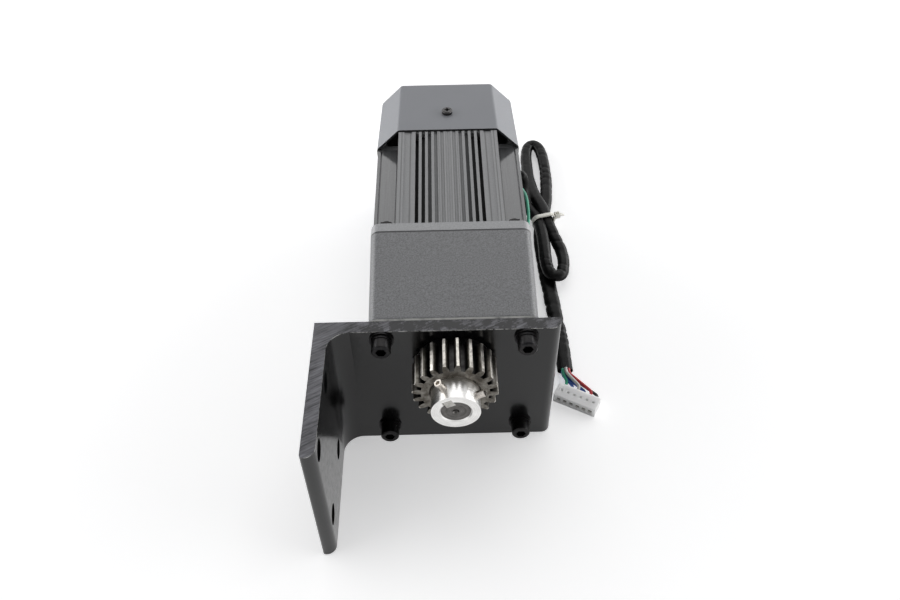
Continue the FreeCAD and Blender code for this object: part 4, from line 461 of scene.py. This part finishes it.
class GEARMOTOR_OT_pinion(bpy.types.Operator):
    """Finishes the drive pinion, its hub and the shaft"""
    bl_idname = "gearmotor.pinion"
    bl_label = "Pinion and shaft"

    def execute(self, context):
        dress(pinion_steel(), "drive_pinion")
        dress(turned_metal("turned aluminium", "f4f3f1", "e3e2e0", 0.3, 0.45, 0.04), "pinion_hub")
        dress(turned_metal("ground shaft steel", "716f6d", "4d4b49", 0.3, 0.5), "output_shaft")
        return {"FINISHED"}


def moulded(name, colour, roughness, grain=0.8, strength=0.1, **values):
    """Moulded plastic or rubber: even colour, a little cloudiness and a fine moulded skin."""
    material, tree, shader = finish(name, **values)
    place = put(tree, "TexCoord").outputs["Object"]
    skin = put(tree, "TexNoise", {"Vector": place, "Scale": per_mm(grain), "Detail": 3.0})
    cloud = put(tree, "TexNoise", {"Vector": place, "Scale": per_mm(8), "Detail": 2.0})
    dark = tinted(colour, 0.9)
    light = tinted(colour, 1.06)
    tone = put(tree, "Mix", {"Factor": cloud.outputs[0], "A": dark, "B": light}, data_type="RGBA")
    gloss = put(tree, "MapRange", {0: skin.outputs[0], 1: 0.3, 2: 0.7,
                                   3: roughness - 0.05, 4: roughness + 0.07})
    bump = put(tree, "Bump", {"Strength": strength, "Distance": 0.05 * MM, "Height": skin.outputs[0]})
    attach(tree, shader, tone.outputs["Result"], gloss.outputs[0], bump.outputs[0])
    return material


class GEARMOTOR_OT_inside(bpy.types.Operator):
    """Finishes the gear train, bearings, windings, fan and other inner pieces"""
    bl_idname = "gearmotor.inside"
    bl_label = "Inner pieces"

    def execute(self, context):
        gear = worked_metal("cut gear steel", "9a9893", "7d7871", 0.34, along=(1.0, 0.1, 1.0))
        dress(gear, "output_gear", "idler_1_gear", "idler_1_pinion", "idler_2_gear", "idler_2_pinion")
        ground = worked_metal("ground bearing steel", "b9b9ba", "9e9e9f", 0.22, along=(1.0, 0.2, 1.0))
        dress(ground, "motor_shaft", "idler_1_shaft", "idler_2_shaft", "fan_clip",
              "output_bearing_outer_rings", "output_bearing_inner_rings",
              "motor_bearing_outer_rings", "motor_bearing_inner_rings")
        dress(worked_metal("sintered bronze", "9b7548", "7b5a35", 0.45, grain=0.9), "idler_bushes")
        plates = worked_metal("stacked core laminations", "6d6e71", "54555a", 0.5,
                              along=(0.05, 1.0, 0.05), grain=0.5)
        dress(plates, "stator_core", "rotor_core")
        dress(worked_metal("varnished copper wire", "9c5a2c", "7a4220", 0.35, grain=0.7),
              "stator_windings", "tacho_coil")
        dress(worked_metal("cast aluminium cage", "b4b4b5", "98989a", 0.4), "rotor_cage")
        dress(worked_metal("sintered ferrite", "3a3a3d", "2c2c2f", 0.55), "tacho_magnet")
        dress(moulded("black moulded nylon", "1b1b1c", 0.45), "cooling_fan")
        dress(moulded("black moulded rubber", "161616", 0.6, strength=0.2), "shaft_seal", "lead_grommet")
        return {"FINISHED"}


# Leads

SLEEVE_ROUTE = (  # millimetres, then how flat and how creased the sleeve lies there
    (47.0, 215.8, -40.8, 0.0, 0.0), (50.5, 215.8, -40.8, 0.0, 0.0), (54.2, 215.8, -40.9, 0.05, 0.2),
    (54.4, 214.0, -50.0, 0.1, 0.3), (55.0, 205.5, -57.6, 0.1, 0.2), (59.0, 196.0, -58.0, 0.1, 0.1),
    (63.2, 187.0, -56.8, 0.1, 0.0), (64.6, 174.7, -56.4, 0.15, 0.1), (65.0, 155.0, -55.8, 0.1, 0.2),
    (64.4, 142.0, -56.2, 0.1, 0.3), (66.2, 131.0, -57.4, 0.15, 0.7), (73.8, 130.2, -58.8, 0.15, 1.0),
    (77.2, 142.0, -59.8, 0.05, 1.0), (77.4, 155.0, -60.2, 0.05, 0.7), (73.0, 170.0, -58.4, 0.15, 0.3),
    (69.7, 182.5, -56.8, 0.2, 0.0), (67.6, 196.0, -56.0, 0.2, 0.0), (64.0, 208.0, -56.2, 0.2, 0.0),
    (61.3, 224.0, -58.6, 0.2, 0.1), (60.9, 246.0, -61.9, 0.12, 0.2), (61.4, 268.0, -62.0, 0.1, 0.15),
    (64.4, 280.0, -62.0, 0.1, 0.4), (71.2, 280.8, -62.0, 0.1, 0.7), (74.4, 267.0, -62.0, 0.1, 1.0),
    (74.8, 244.0, -62.0, 0.1, 1.0), (72.9, 218.0, -62.4, 0.2, 0.6), (67.6, 194.0, -62.4, 0.3, 0.0),
    (64.4, 176.3, -63.2, 0.4, 0.1), (64.3, 150.0, -63.6, 0.42, 0.3), (65.7, 123.4, -63.7, 0.38, 1.0),
    (66.7, 100.9, -63.6, 0.36, 1.2), (68.1, 78.0, -63.6, 0.4, 0.7), (68.2, 53.3, -63.0, 0.3, 0.2),
)
SLEEVE_SIDES = 24
FLAT_SPREAD = 0.75          # how much wider a flattened sleeve lies
FOLD_SPACING = 8.6          # millimetres, on average
FOLD_DEPTH = 0.32           # share of the radius


def smooth_line(points):
    """Points along the smooth spline that has these control points, in metres."""
    curve = bpy.data.curves.new("sleeve route", "CURVE")
    curve.dimensions = "3D"
    curve.resolution_u = 24
    spline = curve.splines.new("NURBS")
    spline.points.add(len(points) - 1)
    for point, place in zip(spline.points, points):
        point.co = [c * MM for c in place] + [1.0]
    spline.order_u = 3
    spline.use_endpoint_u = True
    route = bpy.data.objects.new("sleeve route", curve)
    bpy.context.scene.collection.objects.link(route)
    mesh = bpy.data.meshes.new_from_object(route)
    line = [v.co.copy() for v in mesh.vertices]
    bpy.data.meshes.remove(mesh)
    bpy.data.objects.remove(route)
    bpy.data.curves.remove(curve)
    return line


def limp_tube(name, line, lie, diameter):
    """A limp sleeve round a line: flat where it lies flat, with slanting folds where it is creased."""
    mesh = bpy.data.meshes.new(name)
    bm = bmesh.new()
    uv = bm.loops.layers.uv.new("along")
    r = diameter / 2
    rows, lengths = [], [0.0]
    for i, p in enumerate(line):
        before, after = line[max(0, i - 1)], line[min(len(line) - 1, i + 1)]
        if i:
            lengths.append(lengths[-1] + (p - line[i - 1]).length)
        ahead = (after - before).normalized()
        across = ahead.cross(Vector((0, 0, 1))).normalized()
        up = across.cross(ahead).normalized()
        s = lengths[-1] / MM
        flat, crease = lie[i]
        row = []
        for k in range(SLEEVE_SIDES):
            a = 2 * math.pi * k / SLEEVE_SIDES
            slow = 0.025 * math.sin(s / 5.3 + 2.0 * math.sin(a) + 1.3 * math.sin(s / 17.0))
            # folds every 4 to 12 mm, uneven, slanting round the sleeve and deeper on one side
            uneven = 2.6 * math.sin(s / 8.3) + math.sin(s / 3.7)
            fold = math.sin(2 * math.pi * s / FOLD_SPACING + 1.5 * math.sin(a + 0.6) + uneven)
            deep = crease * (0.6 + 0.4 * math.sin(s / 12.0 + 1.0)) * (0.6 + 0.4 * math.sin(a + s / 21.0))
            swell = 1 + slow - FOLD_DEPTH * deep * max(0.0, fold) ** 1.6
            x = r * (1 + FLAT_SPREAD * flat) * swell * math.cos(a)
            z = r * (1 - flat) * swell * math.sin(a)
            row.append(bm.verts.new(p + across * x + up * z))
        rows.append(row)
    for i in range(len(rows) - 1):
        for k in range(SLEEVE_SIDES):
            n = (k + 1) % SLEEVE_SIDES
            face = bm.faces.new((rows[i][k], rows[i][n], rows[i + 1][n], rows[i + 1][k]))
            face.smooth = True
            left, right = k / SLEEVE_SIDES, (k + 1) / SLEEVE_SIDES
            turns = (left, right, right, left)
            spans = (lengths[i], lengths[i], lengths[i + 1], lengths[i + 1])
            for loop, u, v in zip(face.loops, turns, spans):
                loop[uv].uv = (u, v)
    bm.faces.new(list(reversed(rows[0])))
    mouth = bm.faces.new(rows[-1])
    bmesh.ops.inset_region(bm, faces=[mouth], thickness=0.12 * r)
    deep = bmesh.ops.extrude_discrete_faces(bm, faces=[mouth])["faces"][0]
    inward = (line[-2] - line[-1]).normalized() * diameter
    bmesh.ops.translate(bm, verts=deep.verts, vec=inward)
    bmesh.ops.recalc_face_normals(bm, faces=bm.faces)
    bm.to_mesh(mesh)
    bm.free()
    tube = bpy.data.objects.new(name, mesh)
    bpy.context.scene.collection.objects.link(tube)
    return tube


def sleeve_vinyl(colour):
    """Soft black PVC sleeving: a dark satin skin with small soft creases and a little dust in places."""
    material, tree, shader = finish("extruded soft PVC sleeving", Specular_IOR_Level=0.13)
    place = put(tree, "TexCoord").outputs["Object"]
    crease = put(tree, "TexNoise", {"Vector": place, "Scale": per_mm(4.0), "Detail": 3.0, "Distortion": 0.8})
    dust = put(tree, "TexNoise", {"Vector": place, "Scale": per_mm(9), "Detail": 6.0, "Roughness": 0.7})
    grey = put(tree, "MapRange", {0: dust.outputs[0], 1: 0.5, 2: 0.75, 4: 0.45})
    tone = put(tree, "Mix", {"Factor": grey.outputs[0], "A": linear(colour), "B": linear("161616")},
               data_type="RGBA")
    gloss = put(tree, "MapRange", {0: crease.outputs[0], 1: 0.3, 2: 0.7, 3: 0.26, 4: 0.42})
    bump = put(tree, "Bump", {"Strength": 0.35, "Distance": 0.5 * MM, "Height": crease.outputs[0]})
    attach(tree, shader, tone.outputs["Result"], gloss.outputs[0], bump.outputs[0])
    return material


class GEARMOTOR_OT_sleeve(bpy.types.Operator):
    """Makes the sleeved lead with its two tied loops"""
    bl_idname = "gearmotor.sleeve"
    bl_label = "Sleeved lead"

    def execute(self, context):
        sizes = context.scene.gearmotor_sizes
        line = smooth_line([p[:3] for p in SLEEVE_ROUTE])
        lie = [(v.x / MM, v.y / MM) for v in smooth_line([p[3:] + (0.0,) for p in SLEEVE_ROUTE])]
        tube = limp_tube("lead_sleeve", line, lie, sizes.sleeve_diameter)
        tube.data.materials.append(sleeve_vinyl(context.scene.gearmotor_colours.sleeve))
        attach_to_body(tube, "frame")
        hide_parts("cable_lead", "cable_hank", "cable_run")
        return {"FINISHED"}


TIE_PLACE = (67.2, 185.0, -58.7)   # millimetres, middle of the tie's loop
TIE_LOOP = (16.6, 12.0)            # inside width and height
TIE_TURN = 15.0                    # degrees, right side further back
TIE_LOWER = 0.72                   # width of the loop's lower half over the upper
TIE_CORNER = 4.4 * MM              # radius of the loop's corners
TIE_BLOCK = 3.6 * MM               # lock block's side
BLOCK_RIM = 0.8 * MM               # round the recess in the block's top
BLOCK_RECESS = 1.2 * MM            # its depth
TAIL_INSET = 0.7 * MM              # from the block's side to the tail
TIE_EDGE = 0.25 * MM               # rounding of all edges


def select_faces(mesh, test):
    """In edit mode, selects the faces that pass a test and no others."""
    bpy.ops.mesh.select_mode(type="FACE")
    bpy.ops.mesh.select_all(action="DESELECT")
    bm = bmesh.from_edit_mesh(mesh)
    for face in bm.faces:
        face.select = test(face)
    bm.select_flush_mode()
    bmesh.update_edit_mesh(mesh)


class GEARMOTOR_OT_tie(bpy.types.Operator):
    """Models the cable tie: a band round the hank, its lock block and the cut tail"""
    bl_idname = "gearmotor.tie"
    bl_label = "Cable tie"

    def execute(self, context):
        sizes = context.scene.gearmotor_sizes
        wide, high = (c * MM for c in TIE_LOOP)
        bpy.ops.object.select_all(action="DESELECT")
        bpy.ops.mesh.primitive_plane_add(size=1.0, rotation=(math.radians(90), 0, 0))
        band = context.object
        band.name = "nylon_tie"
        bpy.ops.object.transform_apply()
        bpy.ops.object.mode_set(mode="EDIT")
        bpy.ops.mesh.select_all(action="SELECT")
        bpy.ops.transform.resize(value=(wide, 1.0, high))
        bpy.ops.mesh.select_mode(type="VERT")
        bpy.ops.mesh.select_all(action="DESELECT")
        corners = bmesh.from_edit_mesh(band.data)
        for corner in corners.verts:
            corner.select = corner.co.z < 0
        bmesh.update_edit_mesh(band.data)
        bpy.ops.transform.resize(value=(TIE_LOWER, 1.0, 1.0))
        bpy.ops.mesh.select_all(action="SELECT")
        bpy.ops.mesh.bevel(offset=TIE_CORNER, segments=8, affect="VERTICES")
        bpy.ops.mesh.delete(type="ONLY_FACE")
        bpy.ops.mesh.select_all(action="SELECT")
        bpy.ops.transform.translate(value=(0, -sizes.tie_width / 2, 0))
        bpy.ops.mesh.extrude_edges_move(TRANSFORM_OT_translate={"value": (0, sizes.tie_width, 0)})
        bpy.ops.mesh.select_all(action="SELECT")
        bpy.ops.mesh.normals_make_consistent(inside=False)
        bpy.ops.object.mode_set(mode="OBJECT")
        wall = band.modifiers.new("wall", "SOLIDIFY")
        wall.thickness = sizes.tie_thickness
        wall.offset = 1.0
        bpy.ops.object.modifier_apply(modifier=wall.name)

        bpy.ops.object.select_all(action="DESELECT")
        middle = ((wide + TIE_BLOCK) / 2, 0, (high - TIE_BLOCK) / 2)
        bpy.ops.mesh.primitive_cube_add(size=TIE_BLOCK, location=middle)
        lock = context.object
        bpy.ops.object.transform_apply()
        bpy.ops.object.mode_set(mode="EDIT")
        select_faces(lock.data, lambda face: face.normal.z > 0.9)
        bpy.ops.mesh.inset(thickness=BLOCK_RIM)
        bpy.ops.mesh.extrude_region_move(TRANSFORM_OT_translate={"value": (0, 0, -BLOCK_RECESS)})
        select_faces(lock.data, lambda face: face.normal.x > 0.9)
        bpy.ops.mesh.inset(thickness=TAIL_INSET)
        bpy.ops.transform.resize(value=(1.0, 1.0, 0.45))
        bpy.ops.mesh.extrude_region_move(
            TRANSFORM_OT_translate={"value": (sizes.tie_tail, -0.3 * MM, -0.8 * MM)})
        bpy.ops.transform.resize(value=(1.0, 0.8, 0.8))
        bpy.ops.object.mode_set(mode="OBJECT")
        band.select_set(True)
        context.view_layer.objects.active = band
        bpy.ops.object.join()
        round_edges = band.modifiers.new("edges", "BEVEL")
        round_edges.width = TIE_EDGE
        round_edges.segments = 2
        round_edges.limit_method = "ANGLE"
        bpy.ops.object.modifier_apply(modifier=round_edges.name)
        bpy.ops.object.mode_set(mode="EDIT")
        bpy.ops.mesh.select_all(action="SELECT")
        bpy.ops.transform.rotate(value=math.radians(-TIE_TURN), orient_axis="Z", center_override=(0, 0, 0))
        bpy.ops.transform.translate(value=[c * MM for c in TIE_PLACE])
        bpy.ops.mesh.normals_make_consistent(inside=False)
        bpy.ops.object.mode_set(mode="OBJECT")
        bpy.ops.object.shade_smooth_by_angle(angle=math.radians(35))
        band.data.materials.append(moulded("natural nylon tie", context.scene.gearmotor_colours.tie, 0.4))
        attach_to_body(band, "frame")
        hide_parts("cable_tie")
        return {"FINISHED"}


WIRES = (("1c9877", "wire_green", "earth_wire"), ("436dc2", "wires_blue"), ("c9c9c6", "wire_white"),
         ("b3262b", "wire_red"), ("1a1a1b", "wire_black"))


class GEARMOTOR_OT_plug(bpy.types.Operator):
    """Finishes the plug and the coloured wires"""
    bl_idname = "gearmotor.plug"
    bl_label = "Plug and wires"

    def execute(self, context):
        dress(moulded("white moulded nylon", context.scene.gearmotor_colours.plug, 0.38,
                      Subsurface_Weight=1.0, Subsurface_Radius=(1.0, 1.0, 1.0), Subsurface_Scale=5 * MM),
              "connector_housing")
        for colour, *names in WIRES:
            dress(moulded("PVC wire " + names[0], colour, 0.35), *names)
        return {"FINISHED"}


# Stage

CAMERA_PLACE = (-4.11, -269.945, 345.532)  # millimetres
CAMERA_DOWN = 46.702                       # degrees below the horizon
CAMERA_TURN = 0.483                        # to the right of straight back
CAMERA_ROLL = -0.965                       # degrees
CAMERA_LENS = 34.05                        # millimetres
TABLE_SIZE = 6.0                           # metres
TABLE_GAP = 0.1 * MM                       # under the bracket's lower edge
TABLE_LIFT = 0.42                          # share of white that the table shows besides its shade
TABLE_NEAR, TABLE_FAR = 0.5, 1.5           # metres, where the table starts to fade and is all white
LIGHT_LEVEL, LIGHT_ABOVE = 0.55, 0.05      # the room's light from the sides and from overhead
MIRROR_ABOVE = 0.45                        # the room overhead as gloss mirrors it, where the sides are white
LAMP_AIM = (0, 0.08, 0)                    # metres, in the gear case
LAMPS = (                                  # name, place, width and height in metres, watts
    ("left softbox", (-1.4, 0.3, 0.36), 2.6, 0.8, 21.0),
    ("right softbox", (1.4, 0.4, 0.36), 2.6, 0.8, 21.0),
    ("back softbox", (0.1, 1.2, 1.3), 1.5, 1.5, 8.0),
)


def white_room():
    """A white room: white to the camera, white round the sides and greyer overhead in reflections, and
    softer from above for lighting."""
    world = bpy.data.worlds.new("white room")
    world.use_nodes = True
    tree = world.node_tree
    out = tree.nodes["World Output"]
    tree.nodes.remove(tree.nodes["Background"])
    up = put(tree, "SeparateXYZ", {0: put(tree, "TexCoord").outputs["Generated"]})
    level = put(tree, "MapRange", {0: up.outputs["Z"], 1: 0.0, 2: 1.0, 3: LIGHT_LEVEL, 4: LIGHT_ABOVE})
    light = put(tree, "Background", {"Color": linear("ffffff"), "Strength": level.outputs[0]})
    white = put(tree, "Background", {"Color": linear("fdfdfe"), "Strength": 1.0})
    ceiling = put(tree, "MapRange", {0: up.outputs["Z"], 1: 0.35, 2: 0.85, 3: 1.0, 4: MIRROR_ABOVE})
    mirrored = put(tree, "Background", {"Color": linear("fdfdfe"), "Strength": ceiling.outputs[0]})
    rays = put(tree, "LightPath")
    shiny = put(tree, "Math", {0: rays.outputs["Is Glossy Ray"], 1: rays.outputs["Is Transmission Ray"]},
                operation="MAXIMUM")
    light = put(tree, "MixShader", {0: shiny.outputs[0], 1: light.outputs[0], 2: mirrored.outputs[0]})
    seen = rays.outputs["Is Camera Ray"]
    both = put(tree, "MixShader", {0: seen, 1: light.outputs[0], 2: white.outputs[0]})
    tree.links.new(both.outputs[0], out.inputs["Surface"])
    return world


def pale_table():
    """Matt white table: its own shade with the object's shadow, lifted to near white for the eye."""
    material = bpy.data.materials.new("matt white table")
    material.use_nodes = True
    tree = material.node_tree
    tree.nodes.remove(tree.nodes["Principled BSDF"])
    matt = put(tree, "BsdfDiffuse", {"Color": linear("fafafa")})
    rays = put(tree, "LightPath")
    seen = put(tree, "Math", {0: rays.outputs["Is Camera Ray"], 1: rays.outputs["Is Glossy Ray"]},
               operation="MAXIMUM")
    seen = put(tree, "Math", {0: seen.outputs[0], 1: rays.outputs["Is Transmission Ray"]}, operation="MAXIMUM")
    place = put(tree, "TexCoord").outputs["Object"]
    away = put(tree, "VectorMath", {0: place}, operation="LENGTH")
    lift = put(tree, "MapRange", {0: away.outputs["Value"], 1: TABLE_NEAR, 2: TABLE_FAR,
                                  3: TABLE_LIFT, 4: 1.0})
    share = put(tree, "Math", {0: seen.outputs[0], 1: lift.outputs[0]}, operation="MULTIPLY")
    glow = put(tree, "Emission", {"Color": linear("fdfdfe"), "Strength": share.outputs[0]})
    both = put(tree, "AddShader", {0: matt.outputs[0], 1: glow.outputs[0]})
    tree.links.new(both.outputs[0], tree.nodes["Material Output"].inputs["Surface"])
    return material


class GEARMOTOR_OT_stage(bpy.types.Operator):
    """Makes the table, the light and the camera"""
    bl_idname = "gearmotor.stage"
    bl_label = "Stage"

    def execute(self, context):
        scene = context.scene
        scene.view_settings.view_transform = "Standard"
        scene.world = white_room()
        bpy.ops.object.select_all(action="DESELECT")
        bpy.ops.mesh.primitive_plane_add(size=TABLE_SIZE, location=(0, 0, FLOOR_Z - TABLE_GAP))
        table = context.object
        table.name = "table"
        table.data.materials.append(pale_table())
        for name, place, width, height, power in LAMPS:
            lamp = bpy.data.lights.new(name, "AREA")
            lamp.shape = "RECTANGLE"
            lamp.size, lamp.size_y = width, height
            lamp.energy = power
            box = bpy.data.objects.new(name, lamp)
            box.location = place
            box.rotation_euler = (Vector(LAMP_AIM) - Vector(place)).to_track_quat("-Z", "Y").to_euler()
            scene.collection.objects.link(box)
        down, turn, roll = (math.radians(a) for a in (CAMERA_DOWN, CAMERA_TURN, CAMERA_ROLL))
        ahead = Vector((math.sin(turn) * math.cos(down), math.cos(turn) * math.cos(down), -math.sin(down)))
        right = Vector((math.cos(turn), -math.sin(turn), 0))
        above = right.cross(ahead)
        across = right * math.cos(roll) + above * math.sin(roll)
        upward = above * math.cos(roll) - right * math.sin(roll)
        data = bpy.data.cameras.new("photo view")
        data.lens = CAMERA_LENS
        data.sensor_fit = "HORIZONTAL"
        data.clip_start = 0.01
        camera = bpy.data.objects.new("photo view", data)
        axes = Matrix((across, upward, -ahead)).transposed().to_4x4()
        camera.matrix_world = Matrix.Translation(Vector(CAMERA_PLACE) * MM) @ axes
        scene.collection.objects.link(camera)
        scene.camera = camera
        return {"FINISHED"}


STEPS = (GEARMOTOR_OT_bracket, GEARMOTOR_OT_housing, GEARMOTOR_OT_fasteners, GEARMOTOR_OT_pinion,
         GEARMOTOR_OT_inside, GEARMOTOR_OT_plug, GEARMOTOR_OT_tie, GEARMOTOR_OT_sleeve, GEARMOTOR_OT_stage)


class GEARMOTOR_PT_panel(bpy.types.Panel):
    """Lists the gear motor's steps, sizes and colours"""
    bl_idname = "GEARMOTOR_PT_panel"
    bl_label = "Gear motor"
    bl_space_type = "VIEW_3D"
    bl_region_type = "UI"
    bl_category = "Gear motor"

    def draw(self, context):
        for step in STEPS:
            self.layout.operator(step.bl_idname)
        for group in (context.scene.gearmotor_sizes, context.scene.gearmotor_colours):
            for name in group.__annotations__:
                self.layout.prop(group, name)


CLASSES = (GearMotorColours, GearMotorSizes) + STEPS + (GEARMOTOR_PT_panel,)


def register():
    for cls in CLASSES:
        bpy.utils.register_class(cls)
    bpy.types.Scene.gearmotor_colours = bpy.props.PointerProperty(type=GearMotorColours)
    bpy.types.Scene.gearmotor_sizes = bpy.props.PointerProperty(type=GearMotorSizes)


def unregister():
    del bpy.types.Scene.gearmotor_sizes
    del bpy.types.Scene.gearmotor_colours
    for cls in reversed(CLASSES):
        bpy.utils.unregister_class(cls)


def main():
    register()
    bpy.ops.gearmotor.bracket()
    bpy.ops.gearmotor.housing()
    bpy.ops.gearmotor.fasteners()
    bpy.ops.gearmotor.pinion()
    bpy.ops.gearmotor.inside()
    bpy.ops.gearmotor.plug()
    bpy.ops.gearmotor.tie()
    bpy.ops.gearmotor.sleeve()
    bpy.ops.gearmotor.stage()


if __name__ == "__main__":
    main()
